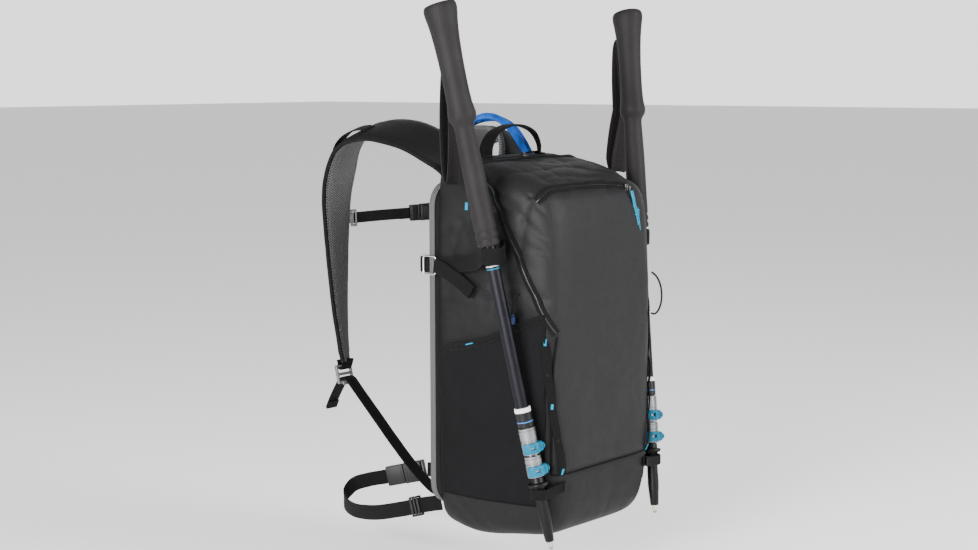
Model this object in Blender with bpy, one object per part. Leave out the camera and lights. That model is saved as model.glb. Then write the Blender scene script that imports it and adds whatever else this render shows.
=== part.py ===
"""A daypack for hiking and ski touring, with a pair of telescopic poles stowed in its side loops.

Metres. +Z is up, +Y points to the wearer's back and -Y is the pack's outer face.
The origin is the centre of the lumbar pad's flat face, which rests on the wearer.
"""

import math

import bmesh
import bpy
import numpy as np
from mathutils import Matrix, Vector

GAP = 0.0004  # between pieces that rest on each other

# Main bag
PACK_BOTTOM = -0.109
PACK_TOP = 0.358
BACK_Y = -0.020
FRONT_Y = -0.196
HALF_WIDTH = 0.126
CORNER_POWER = 8.0  # higher is squarer, seen from above
RIM_POWER = 18.0  # higher is squarer, seen from the side
WIDEST_AT = 0.30  # share of the depth, from the back
DEPTH_TAPER = 0.32
TOP_TAPER = 0.06
BOTTOM_TAPER = 0.08
TOP_SETBACK = 0.012
BOTTOM_SETBACK = 0.014
TOP_SLOPE = 0.038
BACK_FLATTEN = 1.3
WALL = 0.003
BAG_CUTS = 7

# The zipped opening: a flap over the upper front and the front of the top
ZIP_SIDE = ((-0.190, 0.147), (-0.169, 0.190), (-0.146, 0.237), (-0.124, 0.284), (-0.104, 0.322), (-0.068, 0.348))
ZIP_TOP_Y = -0.062
HINGE_Z = ZIP_SIDE[0][1]
FLAP_GAP = 0.0008

# Back panel and pads
PANEL_THICK = 0.008
PAD_FACE_Y = 0.0

# Shoulder straps
STRAP_THICK = 0.011
STRAP_WEBBING = 0.020
WEBBING_THICK = 0.0016
STERNUM_WIDTH = 0.015
HIP_WIDTH = 0.020

# Hydration
HOSE_RADIUS = 0.0047
PORT_X = 0.048
PORT_Y = -0.0340

# Poles. A pole's own frame starts at its tip and runs up its axis.
POLE_TIP = Vector((-0.1125, -0.1930, -0.1143))
POLE_LEAN = Vector((-0.1229, 0.1632, 1.0))
POLE_LENGTH = 0.6735
UPPER_RADIUS = 0.0082
MIDDLE_RADIUS = 0.0070
LOWER_RADIUS = 0.0058
TUBE_WALL = 0.0009
COLLAR_RADIUS = 0.0107
LEVER_THICK = 0.0020
LEVER_HEIGHT = 0.013
LEVER_START = math.radians(39)
LEVER_SPAN = math.radians(160)
LOWER_CLAMP = (0.0920, 0.1195)
UPPER_CLAMP = (0.1203, 0.1545)
COLLAR_TOP = 0.1790
SOCKET_FLOOR, SOCKET_TOP = 0.0600, 0.0915  # the tip's socket for the lower shaft
SHAFT_TOP = 0.598
SEGMENTS = 16

LEFT, RIGHT = -1, 1
SIDE_NAMES = {LEFT: "left", RIGHT: "right"}


def material(name, colour, roughness=0.7, metallic=0.0):
    made = bpy.data.materials.new(name)
    made.use_nodes = True
    shader = made.node_tree.nodes["Principled BSDF"]
    shader.inputs["Base Color"].default_value = (*colour, 1)
    shader.inputs["Roughness"].default_value = roughness
    shader.inputs["Metallic"].default_value = metallic
    made.diffuse_color = (*colour, 1)
    return made


def clear_scene():
    for obj in list(bpy.data.objects):
        bpy.data.objects.remove(obj)


def make_materials():
    return {
        "shell": material("shell_fabric", (0.035, 0.036, 0.038), 0.6),
        "stretch": material("stretch_fabric", (0.018, 0.018, 0.02), 0.75),
        "mesh": material("air_mesh", (0.22, 0.22, 0.225), 0.85),
        "webbing": material("webbing", (0.016, 0.016, 0.017), 0.7),
        "plastic": material("grey_plastic", (0.33, 0.33, 0.34), 0.4),
        "dark": material("dark_plastic", (0.03, 0.03, 0.032), 0.45),
        "steel": material("steel_wire", (0.6, 0.6, 0.6), 0.3, 1.0),
        "blue": material("blue_accent", (0.0, 0.36, 0.62), 0.5),
        "tube": material("blue_tube", (0.0, 0.16, 0.62), 0.15),
        "bladder": material("bladder_film", (0.35, 0.55, 0.75), 0.2),
        "grip": material("grip_foam", (0.075, 0.07, 0.072), 0.8),
        "shaft": material("anodised_shaft", (0.12, 0.12, 0.13), 0.35, 0.6),
        "silver": material("bare_aluminium", (0.7, 0.72, 0.75), 0.3, 1.0),
    }


def link(obj, mat, parent=None):
    bpy.context.scene.collection.objects.link(obj)
    obj.data.materials.append(mat)
    if parent is not None:
        obj.parent = parent
    return obj


def mesh_object(name, points, faces, mat, parent=None, smooth=True):
    mesh = bpy.data.meshes.new(name)
    mesh.from_pydata([tuple(p) for p in points], [], faces)
    tidy = bmesh.new()
    tidy.from_mesh(mesh)
    bmesh.ops.recalc_face_normals(tidy, faces=tidy.faces)
    tidy.to_mesh(mesh)
    tidy.free()
    if smooth:
        mesh.shade_smooth()
        mesh.set_sharp_from_angle(angle=math.radians(40))
    return link(bpy.data.objects.new(name, mesh), mat, parent)


def helper(obj):
    """Marks a cutter, which shapes other pieces and isn't one itself."""
    obj.hide_render = True
    obj.display_type = "WIRE"
    return obj


def boolean(obj, other, operation):
    modifier = obj.modifiers.new(operation.lower(), "BOOLEAN")
    modifier.operation = operation
    modifier.solver = "EXACT"
    modifier.object = other
    return obj


def box(name, low, high, mat, bevel=0.0, parent=None):
    """A block between two corners, with rounded edges."""
    low, high = Vector(low), Vector(high)
    shape = bmesh.new()
    bmesh.ops.create_cube(shape, size=1.0)
    for vert in shape.verts:
        vert.co = Vector(a * b for a, b in zip(vert.co, high - low)) + (low + high) / 2
    if bevel:
        bmesh.ops.bevel(
            shape, geom=shape.edges, offset=bevel, segments=2, affect="EDGES", profile=0.5
        )
    mesh = bpy.data.meshes.new(name)
    shape.to_mesh(mesh)
    shape.free()
    return link(bpy.data.objects.new(name, mesh), mat, parent)


def outline_plate(name, outline, low_y, high_y, mat, bevel=0.0):
    """A plate cut to an (x, z) outline, between two planes of y."""
    count = len(outline)
    points = [(x, y, z) for y in (low_y, high_y) for x, z in outline]
    sides = [(i, (i + 1) % count, count + (i + 1) % count, count + i) for i in range(count)]
    ends = [tuple(range(count)), tuple(range(count, 2 * count))]
    plate = mesh_object(name, points, sides + ends, mat, smooth=False)
    if bevel:
        edge = plate.modifiers.new("edge", "BEVEL")
        edge.width = bevel
        edge.segments = 2
        edge.limit_method = "ANGLE"
        edge.angle_limit = math.radians(50)
    return plate


def rounded_outline(x_low, x_high, z_low, z_high, radius, steps=4):
    """An (x, z) rectangle with arc corners, anticlockwise."""
    corners = (
        (x_high - radius, z_high - radius, 0),
        (x_low + radius, z_high - radius, 90),
        (x_low + radius, z_low + radius, 180),
        (x_high - radius, z_low + radius, 270),
    )
    return [
        (
            cx + radius * math.cos(math.radians(start + 90 * i / steps)),
            cz + radius * math.sin(math.radians(start + 90 * i / steps)),
        )
        for cx, cz, start in corners
        for i in range(steps + 1)
    ]


def turned(name, profile, mat, parent=None, segments=SEGMENTS, offset=(0, 0, 0)):
    """A solid of revolution about Z from (radius, z) pairs. A bore's profile closes on itself."""
    ring = []
    hollow = all(radius > 0 for radius, _ in profile)
    points = []
    for radius, z in profile:
        if radius == 0:
            ring.append([len(points)] * segments)
            points.append((0, 0, z))
            continue
        ring.append([len(points) + i for i in range(segments)])
        points += [
            (radius * math.cos(2 * math.pi * i / segments), radius * math.sin(2 * math.pi * i / segments), z)
            for i in range(segments)
        ]
    faces = []
    spans = list(zip(ring, ring[1:])) + ([(ring[-1], ring[0])] if hollow else [])
    for first, second in spans:
        for i in range(segments):
            corners = (first[i], first[i - 1], second[i - 1], second[i])
            faces.append(tuple(dict.fromkeys(corners)))
    points = [Vector(p) + Vector(offset) for p in points]
    return mesh_object(name, points, faces, mat, parent)


def smooth_path(knots, steps):
    """Points along a Catmull-Rom curve through the knots. A knot may carry more values than a position."""
    knots = np.array(knots, float)
    padded = np.vstack([2 * knots[0] - knots[1], knots, 2 * knots[-1] - knots[-2]])
    made = []
    for i in range(len(knots) - 1):
        a, b, c, d = padded[i : i + 4]
        for t in np.arange(steps) / steps:
            made.append(
                0.5 * (2 * b + (c - a) * t + (2 * a - 5 * b + 4 * c - d) * t**2 + (3 * b - a - 3 * c + d) * t**3)
            )
    made.append(knots[-1])
    return made


def ribbon(name, path, across, width, thick, mat, parent=None, loop=False):
    """A strap swept along a path. across is the width's direction, and it and the width may change on the way."""
    count = len(path)
    path = [Vector(p[:3]) for p in path]
    directions = [Vector(a).normalized() for a in across] if len(across) == count else [Vector(across)] * count
    widths = width if hasattr(width, "__len__") else [width] * count
    points = []
    for i, point in enumerate(path):
        before = path[i - 1] if (i or loop) else point
        after = path[(i + 1) % count] if (i < count - 1 or loop) else point
        along = (after - before).normalized()
        side = (directions[i] - along * directions[i].dot(along)).normalized()
        face = along.cross(side)
        half, rise = side * widths[i] / 2, face * thick / 2
        points += [point - half - rise, point + half - rise, point + half + rise, point - half + rise]
    faces = []
    for i in range(count if loop else count - 1):
        a, b = 4 * i, 4 * ((i + 1) % count)
        faces += [(a + k, a + (k + 1) % 4, b + (k + 1) % 4, b + k) for k in range(4)]
    if not loop:
        faces += [(0, 1, 2, 3), tuple(4 * (count - 1) + k for k in range(4))]
    return mesh_object(name, points, faces, mat, parent)


def mirrored(points, side):
    """Points given for the left side, placed on the side asked for."""
    flip = -side
    return [(p[0] * flip, *p[1:]) for p in points]


# ---------------------------------------------------------------- the bag's surface


def bag_from_unit(u, v, w, inset):
    """Maps a point of the rounded unit block to the bag. u is across, v to the back and w up, each -1 to 1."""
    flat = min(1.0, BACK_FLATTEN * v) if v > 0 else v
    forward = (1 - flat) / 2
    rise, fall = max(w, 0.0), max(-w, 0.0)
    front = FRONT_Y + TOP_SETBACK * max(0.0, (w - 0.2) / 0.8) ** 1.7
    front += BOTTOM_SETBACK * max(0.0, (-w - 0.6) / 0.4) ** 1.5
    x = u * (HALF_WIDTH - inset) * (1 - DEPTH_TAPER * (forward - WIDEST_AT) ** 2)
    x *= (1 - TOP_TAPER * rise**6) * (1 - BOTTOM_TAPER * fall**6)
    y = (front + inset) * forward + (BACK_Y - inset) * (1 - forward)
    z = (PACK_TOP + PACK_BOTTOM) / 2 + w * ((PACK_TOP - PACK_BOTTOM) / 2 - inset)
    z -= TOP_SLOPE * rise**3 * forward**2
    return Vector((x, y, z))


def bag_point(direction, inset=0.0):
    """The bag's surface in a direction from its middle, given as a point of the unit cube."""
    a, b, c = (abs(t) for t in direction)
    low, high = 0.3, 2.0
    for _ in range(40):
        r = (low + high) / 2
        if (a * r) ** CORNER_POWER + (b * r) ** CORNER_POWER + (c * r) ** RIM_POWER > 1:
            high = r
        else:
            low = r
    return bag_from_unit(*(t * r for t in direction), inset)


def side_x(y, z, inset=0.0):
    """Half the bag's width at a height and depth."""
    middle, half = (PACK_TOP + PACK_BOTTOM) / 2, (PACK_TOP - PACK_BOTTOM) / 2
    w, forward = (z - middle) / half, 0.5
    for _ in range(8):
        w = max(-0.98, min(0.98, (z - middle + TOP_SLOPE * max(w, 0) ** 3 * forward**2) / half))
        front = FRONT_Y + TOP_SETBACK * max(0.0, (w - 0.2) / 0.8) ** 1.7
        front += BOTTOM_SETBACK * max(0.0, (-w - 0.6) / 0.4) ** 1.5
        forward = max(0.0, min(1.0, (BACK_Y - y) / (BACK_Y - front)))
    v = 1 - 2 * forward
    v = v / BACK_FLATTEN if v > 0 else v
    room = max(0.0, 1 - abs(v) ** CORNER_POWER - abs(w) ** RIM_POWER)
    return bag_from_unit(room ** (1 / CORNER_POWER), v, w, inset).x


def front_y(x, z):
    """The bag's front at a place across it and a height."""
    middle, half = (PACK_TOP + PACK_BOTTOM) / 2, (PACK_TOP - PACK_BOTTOM) / 2
    w, forward = (z - middle) / half, 0.9
    for _ in range(20):
        w = max(-0.98, min(0.98, (z - middle + TOP_SLOPE * max(w, 0) ** 3 * forward**2) / half))
        narrow = (1 - TOP_TAPER * max(w, 0) ** 6) * (1 - BOTTOM_TAPER * max(-w, 0) ** 6)
        u = x / (HALF_WIDTH * (1 - DEPTH_TAPER * (forward - WIDEST_AT) ** 2) * narrow)
        v = -max(0.0, 1 - abs(u) ** CORNER_POWER - abs(w) ** RIM_POWER) ** (1 / CORNER_POWER)
        forward = (1 - v) / 2
    return bag_from_unit(u, v, w, 0.0).y


def bag_block(name, inset, mat):
    """The closed block of the bag's outside, or of its inside when inset."""
    shape = bmesh.new()
    bmesh.ops.create_cube(shape, size=2.0)
    bmesh.ops.subdivide_edges(shape, edges=shape.edges[:], cuts=BAG_CUTS, use_grid_fill=True)
    for vert in shape.verts:
        vert.co = bag_point(vert.co, inset)
    bmesh.ops.triangulate(shape, faces=shape.faces)
    mesh = bpy.data.meshes.new(name)
    shape.to_mesh(mesh)
    shape.free()
    mesh.shade_smooth()
    return link(bpy.data.objects.new(name, mesh), mat)


def zip_cutter(name, grow, mat):
    """The space in front of the zip and above the fold, right across the bag."""
    outline = [(-0.300, HINGE_Z - grow)]
    outline += [(y + grow, z - grow) for y, z in ZIP_SIDE]
    outline += [(ZIP_TOP_Y + grow, 0.460), (-0.300, 0.460)]
    count = len(outline)
    points = [(x, y, z) for x in (-0.2, 0.2) for y, z in outline]
    faces = [(i, (i + 1) % count, count + (i + 1) % count, count + i) for i in range(count)]
    faces += [tuple(range(count)), tuple(range(count, 2 * count))]
    return helper(mesh_object(name, points, faces, mat, smooth=False))


def make_bag(mats):
    hollow = helper(bag_block("hollow_cutter", WALL, mats["shell"]))
    port = helper(turned("port_cutter", [(0, -0.03), (0.0075, -0.03), (0.0075, 0.03), (0, 0.03)], mats["dark"]))
    port.location = (PORT_X, PORT_Y, PACK_TOP)
    shell = bag_block("pack_shell", 0.0, mats["shell"])
    boolean(shell, hollow, "DIFFERENCE")
    boolean(shell, zip_cutter("shell_zip_cutter", FLAP_GAP, mats["dark"]), "DIFFERENCE")
    boolean(shell, port, "DIFFERENCE")
    flap = bag_block("front_flap", 0.0, mats["shell"])
    boolean(flap, hollow, "DIFFERENCE")
    boolean(flap, zip_cutter("flap_zip_cutter", 0.0, mats["dark"]), "INTERSECT")


def make_back(mats):
    low = BACK_Y + GAP
    outline = rounded_outline(-0.1215, 0.1215, -0.084, 0.326, 0.026)
    outline_plate("back_panel", outline, low, low + PANEL_THICK, mats["mesh"], bevel=0.002)
    pad_low = low + PANEL_THICK + GAP
    pad = [(0.106, 0.100), (0.098, 0.292), (-0.098, 0.292), (-0.106, 0.100), (-0.084, 0.078), (-0.042, 0.078)]
    pad += [(-0.020, 0.100), (-0.018, 0.215), (0.018, 0.215), (0.020, 0.100), (0.042, 0.078), (0.084, 0.078)]
    outline_plate("back_pad", pad, pad_low, PAD_FACE_Y - 0.001, mats["mesh"], bevel=0.005)
    outline = rounded_outline(-0.100, 0.100, -0.052, 0.052, 0.030)
    outline_plate("lumbar_pad", outline, pad_low, PAD_FACE_Y, mats["mesh"], bevel=0.005)


# ---------------------------------------------------------------- hydration

RESERVOIR_LOW, RESERVOIR_HIGH = (-0.080, -0.062, -0.050), (0.080, -0.034, 0.225)
HOSE_ROUTE = (
    (0.0000, -0.0682, -0.0200), (0.0140, -0.0750, -0.0150), (0.0340, -0.0800, 0.0060), (0.0500, -0.0800, 0.0450),
    (0.0560, -0.0780, 0.1000), (0.0580, -0.0760, 0.1600), (0.0560, -0.0730, 0.2100), (0.0525, -0.0640, 0.2600),
    (0.0495, -0.0490, 0.3100), (0.0480, -0.0370, 0.3480), (0.0485, -0.0260, 0.3680), (0.0520, -0.0060, 0.3880),
    (0.0575, 0.0180, 0.3985), (0.0645, 0.0450, 0.4020), (0.0715, 0.0815, 0.3950), (0.0769, 0.1117, 0.3737),
    (0.0822, 0.1305, 0.3425), (0.0865, 0.1380, 0.3092), (0.0903, 0.1399, 0.2551), (0.0928, 0.1381, 0.1995),
    (0.0962, 0.1355, 0.1500), (0.0995, 0.1395, 0.1150),
)


def make_hydration(mats):
    box("reservoir", RESERVOIR_LOW, RESERVOIR_HIGH, mats["bladder"], bevel=0.012)
    cap = turned(
        "reservoir_cap",
        [(0, 0), (0.036, 0), (0.036, 0.010), (0.033, 0.0125), (0.010, 0.0125), (0.010, 0.016), (0, 0.016)],
        mats["blue"],
        segments=20,
    )
    cap.location = (0.0, RESERVOIR_LOW[1] - GAP, 0.185)
    cap.rotation_euler = (math.radians(90), 0, 0)
    route = smooth_path(HOSE_ROUTE, 2)
    cord("hose", route, HOSE_RADIUS, mats["tube"])
    profile = [(0, 0), (0.0068, 0), (0.0075, 0.010), (0.0075, 0.020)]
    profile += [(0.0105, 0.023), (0.0115, 0.034), (0.0085, 0.046), (0, 0.048)]
    valve = turned("bite_valve", profile, mats["blue"])
    end, before = Vector(route[-1]), Vector(route[-2])
    heading = (end - before).normalized()
    valve.location = end + heading * GAP
    valve.rotation_mode = "QUATERNION"
    valve.rotation_quaternion = heading.to_track_quat("Z", "Y")


# ---------------------------------------------------------------- carrying straps

# Shoulder straps, each as its outer edge and the edge nearer the neck, from the pack over the shoulder and down.
# The right one hangs closer to the pack than the left one.
STRAP_EDGES = {
    LEFT: (
        ((-0.077, -0.0050, 0.3180), (-0.020, -0.0050, 0.3440)),
        ((-0.090, 0.0060, 0.3380), (-0.031, 0.0080, 0.3660)),
        ((-0.106, 0.0220, 0.3530), (-0.043, 0.0320, 0.3840)),
        ((-0.117, 0.0480, 0.3680), (-0.051, 0.0660, 0.3970)),
        ((-0.119, 0.0950, 0.3770), (-0.054, 0.1080, 0.4000)),
        ((-0.118, 0.1340, 0.3740), (-0.054, 0.1450, 0.3910)),
        ((-0.118, 0.1630, 0.3600), (-0.054, 0.1740, 0.3670)),
        ((-0.118, 0.1800, 0.3280), (-0.055, 0.1860, 0.3290)),
        ((-0.1175, 0.1850, 0.2950), (-0.056, 0.1940, 0.2950)),
        ((-0.117, 0.1820, 0.2500), (-0.058, 0.1970, 0.2500)),
        ((-0.117, 0.1760, 0.2000), (-0.062, 0.1960, 0.2000)),
        ((-0.116, 0.1690, 0.1450), (-0.067, 0.1930, 0.1450)),
        ((-0.113, 0.1620, 0.1000), (-0.075, 0.1850, 0.1000)),
        ((-0.1095, 0.1600, 0.0770), (-0.081, 0.1770, 0.0770)),
    ),
    RIGHT: (
        ((0.077, -0.0050, 0.3180), (0.020, -0.0050, 0.3440)),
        ((0.090, 0.0020, 0.3420), (0.032, 0.0040, 0.3670)),
        ((0.105, 0.0140, 0.3590), (0.044, 0.0200, 0.3830)),
        ((0.115, 0.0360, 0.3710), (0.052, 0.0460, 0.3900)),
        ((0.118, 0.0690, 0.3710), (0.056, 0.0800, 0.3860)),
        ((0.119, 0.0960, 0.3590), (0.057, 0.1070, 0.3680)),
        ((0.1195, 0.1130, 0.3360), (0.058, 0.1240, 0.3390)),
        ((0.1195, 0.1200, 0.3080), (0.059, 0.1310, 0.3080)),
        ((0.1195, 0.1215, 0.2550), (0.061, 0.1340, 0.2550)),
        ((0.1195, 0.1195, 0.2000), (0.063, 0.1330, 0.2000)),
        ((0.1190, 0.1155, 0.1450), (0.067, 0.1300, 0.1450)),
        ((0.1170, 0.1095, 0.0900), (0.073, 0.1240, 0.0900)),
        ((0.1130, 0.1040, 0.0450), (0.080, 0.1160, 0.0450)),
        ((0.1105, 0.1010, 0.0190), (0.084, 0.1110, 0.0190)),
    ),
}
LOCK_PLACES = {LEFT: Vector((-0.0960, 0.1700, 0.0610)), RIGHT: Vector((0.0970, 0.1045, 0.0030))}
# Lower webbing: the free tail's end, then up through the lock and down to the pack's bottom corner
WEBBING_KNOTS = {
    LEFT: (
        (-0.0960, 0.1960, 0.0130), (-0.0960, 0.1900, 0.0250), (-0.0960, 0.1790, 0.0430), (-0.0960, 0.1700, 0.0555),
        (-0.0960, 0.1600, 0.0560), (-0.0966, 0.1450, 0.0430), (-0.0985, 0.1100, 0.0120), (-0.1010, 0.0700, -0.0230),
        (-0.1040, 0.0350, -0.0500), (-0.1060, 0.0050, -0.0690), (-0.1070, -0.0100, -0.0740),
    ),
    RIGHT: (
        (0.0970, 0.1230, -0.0520), (0.0970, 0.1210, -0.0370), (0.0970, 0.1130, -0.0150), (0.0970, 0.1045, -0.0025),
        (0.0970, 0.0945, -0.0020), (0.0972, 0.0860, -0.0090), (0.0985, 0.0660, -0.0220), (0.1010, 0.0440, -0.0350),
        (0.1040, 0.0200, -0.0480), (0.1060, 0.0010, -0.0570), (0.1070, -0.0100, -0.0600),
    ),
}


def make_shoulder_strap(side, mats):
    name = SIDE_NAMES[side]
    edges = [np.array(smooth_path([pair[i] for pair in STRAP_EDGES[side]], 2)) for i in (0, 1)]
    across = [Vector(a) for a in edges[1] - edges[0]]
    widths = [a.length for a in across]
    ribbon("shoulder_strap_" + name, (edges[0] + edges[1]) / 2, across, widths, STRAP_THICK, mats["mesh"])

    outline = rounded_outline(-0.0145, 0.0145, -0.0125, 0.0125, 0.003)
    lock = outline_plate("ladder_lock_" + name, outline, -0.0016, 0.0016, mats["plastic"])
    for label, place in (("lower", -0.0058), ("upper", 0.0058)):
        low, high = (-0.0115, -0.01, place - 0.0028), (0.0115, 0.01, place + 0.0028)
        slot = helper(box(f"slot_cutter_{label}_{name}", low, high, mats["dark"]))
        slot.parent = lock
        boolean(lock, slot, "DIFFERENCE")
    lock.location = LOCK_PLACES[side]
    lock.rotation_euler = (math.radians(-14), 0, 0)
    path = smooth_path(WEBBING_KNOTS[side], 3)
    ribbon("strap_webbing_" + name, path, (1, 0, 0), STRAP_WEBBING, WEBBING_THICK, mats["webbing"])


STERNUM_LEFT, STERNUM_RIGHT = Vector((-0.0525, 0.1965, 0.2690)), Vector((0.0560, 0.1340, 0.2680))
# Hip belt: the left half from its sewn end round the outside to the buckle, and the short right half
HIP_LEFT = (
    (-0.1060, -0.0100, -0.0860), (-0.1100, 0.0180, -0.0930), (-0.1080, 0.0600, -0.1060), (-0.0990, 0.1150, -0.1210),
    (-0.0820, 0.1700, -0.1290), (-0.0600, 0.2080, -0.1250), (-0.0400, 0.2100, -0.1090), (-0.0278, 0.1928, -0.1011),
    (-0.0160, 0.1720, -0.0960),
)
HIP_RIGHT = (
    (0.0140, 0.1190, -0.0830), (0.0400, 0.0740, -0.0840), (0.0720, 0.0280, -0.0880), (0.0900, 0.0050, -0.0920),
    (0.0990, -0.0100, -0.0940),
)


def strap_frame(name, start, end):
    """An empty at start: X runs along the strap to end and Z runs across it."""
    along = (end - start).normalized()
    up = (Vector((0, 0, 1)) - along * along.z).normalized()
    frame = bpy.data.objects.new(name, None)
    bpy.context.scene.collection.objects.link(frame)
    frame.matrix_world = Matrix.Translation(start) @ Matrix((along, up.cross(along), up)).transposed().to_4x4()
    return frame


def side_release_buckle(label, frame, start, end, width, thick, mats):
    """Male and female halves between start and end along the frame's X.

    The male half slides back along its webbing, far enough to draw its tongue out of the female half.
    """
    half, rise = width / 2 + 0.0035, thick / 2
    shoulder = start + (end - start) * 0.45
    slot = WEBBING_THICK
    male = box(f"{label}_buckle_male", (start, -rise, -half), (shoulder, rise, half), mats["plastic"], 0.0012, frame)
    low, high = (start - 0.010, -slot, -width / 2 - 0.0007), (shoulder - 0.004, slot, width / 2 + 0.0007)
    boolean(male, helper(box(f"{label}_male_cutter", low, high, mats["dark"], 0.0, frame)), "DIFFERENCE")
    reach = (end - start) * 0.25
    low, high = (shoulder - 0.002, -rise * 0.45, -half * 0.62), (shoulder + reach, rise * 0.45, half * 0.62)
    boolean(male, helper(box(f"{label}_tongue", low, high, mats["plastic"], 0.0008, frame)), "UNION")
    low, high = (shoulder + GAP, -rise - 0.0006, -half - 0.001), (end, rise + 0.0006, half + 0.001)
    female = box(f"{label}_buckle_female", low, high, mats["plastic"], 0.0015, frame)
    low = (shoulder - 0.010, -rise * 0.45 - 0.0005, -half * 0.62 - 0.0005)
    high = (shoulder + reach + 0.001, rise * 0.45 + 0.0005, half * 0.62 + 0.0005)
    boolean(female, helper(box(f"{label}_socket_cutter", low, high, mats["dark"], 0.0, frame)), "DIFFERENCE")


def make_sternum_strap(mats):
    frame = strap_frame("sternum_frame", STERNUM_LEFT, STERNUM_RIGHT)
    length = (STERNUM_RIGHT - STERNUM_LEFT).length
    for side, low, high in ((LEFT, 0.0, 0.008), (RIGHT, length - 0.008, length)):
        size = 0.0115
        box("sternum_slider_" + SIDE_NAMES[side], (low, -0.004, -size), (high, 0.004, size), mats["plastic"], 0.0012, frame)
    buckle_start = length - 0.041
    path = [(x, 0, 0) for x in np.linspace(0.008 + GAP, buckle_start + 0.0006, 4)]
    ribbon("sternum_webbing", path, (0, 0, 1), STERNUM_WIDTH, WEBBING_THICK, mats["webbing"], frame)
    side_release_buckle("sternum", frame, buckle_start, length - 0.008 - GAP, STERNUM_WIDTH, 0.0080, mats)


def make_hip_belt(mats):
    up = (0, 0, 1)
    start, end = Vector(HIP_LEFT[-1]), Vector(HIP_RIGHT[0])
    heading = (end - start).normalized()
    path = smooth_path(HIP_LEFT, 3) + [start + heading * d for d in (0.004, 0.008)]
    ribbon("hip_belt_left", path, up, HIP_WIDTH, WEBBING_THICK, mats["webbing"])
    ribbon("hip_belt_right", smooth_path(HIP_RIGHT, 3), up, HIP_WIDTH, WEBBING_THICK, mats["webbing"])
    frame = strap_frame("hip_buckle_frame", start, end)
    side_release_buckle("hip", frame, 0.004, (end - start).length - 0.0025, HIP_WIDTH, 0.0100, mats)
    slide = strap_frame("hip_slider_frame", Vector(HIP_LEFT[1]), Vector(HIP_LEFT[2]))
    slider = box("hip_slider", (0.004, -0.0040, -0.0130), (0.020, 0.0040, 0.0130), mats["plastic"], 0.0012, slide)
    cutter = helper(box("hip_slider_cutter", (-0.02, -0.0020, -0.0107), (0.04, 0.0020, 0.0107), mats["dark"], 0.0, slide))
    boolean(slider, cutter, "DIFFERENCE")


def make_haul_loop(mats):
    half = 0.055
    knots = (
        (-half, -0.0440, PACK_TOP + 0.0010), (-half * 0.97, -0.0440, 0.3700), (-half * 0.72, -0.0440, 0.3860),
        (-half * 0.25, -0.0440, 0.3945), (half * 0.25, -0.0440, 0.3945), (half * 0.72, -0.0440, 0.3860),
        (half * 0.97, -0.0440, 0.3700), (half, -0.0440, PACK_TOP + 0.0010),
    )
    ribbon("haul_loop", smooth_path(knots, 3), (0, 1, 0), 0.018, 0.0022, mats["webbing"])


# ---------------------------------------------------------------- side straps, pockets and loops


def pole_axis_point(side, distance):
    along = POLE_LEAN.normalized()
    place = POLE_TIP + along * distance
    return Vector((place.x * -side, place.y, place.z))


def make_compression(side, mats):
    name = SIDE_NAMES[side]
    pole = pole_axis_point(LEFT, 0.3662)
    wrap = UPPER_RADIUS + 0.0042
    hook_x, hook_y, hook_z, anchor = 0.1255, -0.0100, 0.2230, (-0.1270, 0.2510)
    knots = [(-hook_x, hook_y - 0.0085, hook_z), (-hook_x - 0.0020, -0.0450, 0.2250)]
    knots += [(-0.1370, -0.0850, 0.2310), (-0.1540, -0.1150, 0.2380)]
    for degrees in (165, 200, 235, 270, 305):
        angle = math.radians(degrees)
        knots.append((pole.x + wrap * math.cos(angle), pole.y + wrap * math.sin(angle), pole.z))
    knots += [(-0.1370, -0.1400, 0.2475), (-side_x(*anchor) - 0.0030, *anchor)]
    path = mirrored(smooth_path(knots, 2), side)
    ribbon("compression_strap_" + name, path, (0, 0, 1), 0.020, WEBBING_THICK, mats["webbing"])

    wire, half_y, half_z = 0.0013, 0.0075, 0.0125
    outline = rounded_outline(-half_y, half_y, -half_z, half_z, 0.004)
    inner = rounded_outline(-half_y + 2 * wire, half_y - 2 * wire, -half_z + 2 * wire, half_z - 2 * wire, 0.0015)
    hook = outline_plate("compression_hook_" + name, outline, -wire, wire, mats["steel"])
    cutter = helper(outline_plate("hook_cutter_" + name, inner, -0.01, 0.01, mats["dark"]))
    cutter.parent = hook
    boolean(hook, cutter, "DIFFERENCE")
    hook.rotation_euler = (0, 0, math.radians(90))
    hook.location = (side * hook_x, hook_y, hook_z)


def pocket_mouth(share):
    """The pocket mouth's height, from the back edge at share 0 to the front edge at 1."""
    return 0.101 + 0.054 * math.sin(0.5 * math.pi * share) ** 0.8


def make_pocket(side, mats):
    """A stretch pocket that lies on the bag's side and stands off it at the mouth."""
    columns, rows, floor, thick = 9, 7, -0.066, 0.0025
    back_y, front_y = -0.032, -0.157
    layers = []
    for lift in (0.0, thick):
        for row in range(rows + 1):
            for column in range(columns + 1):
                share = column / columns
                height = row / rows
                y = back_y + (front_y - back_y) * share
                z = floor + (pocket_mouth(share) - floor) * height
                stand = 0.0026 + 0.0100 * height**1.5 * math.sin(math.pi * share) ** 0.8
                layers.append((-side_x(y, z) - stand - lift, y, z))
    across = columns + 1
    block = across * (rows + 1)
    faces = []
    for base in (0, block):
        for row in range(rows):
            for column in range(columns):
                a = base + row * across + column
                faces.append((a, a + 1, a + 1 + across, a + across))
    rim = [row * across for row in range(rows)] + [rows * across + c for c in range(columns)]
    rim += [(rows - r) * across + columns for r in range(rows)] + [columns - c for c in range(columns)]
    faces += [(a, b, b + block, a + block) for a, b in zip(rim, rim[1:] + rim[:1])]
    mesh_object("side_pocket_" + SIDE_NAMES[side], mirrored(layers, side), faces, mats["stretch"])


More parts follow.
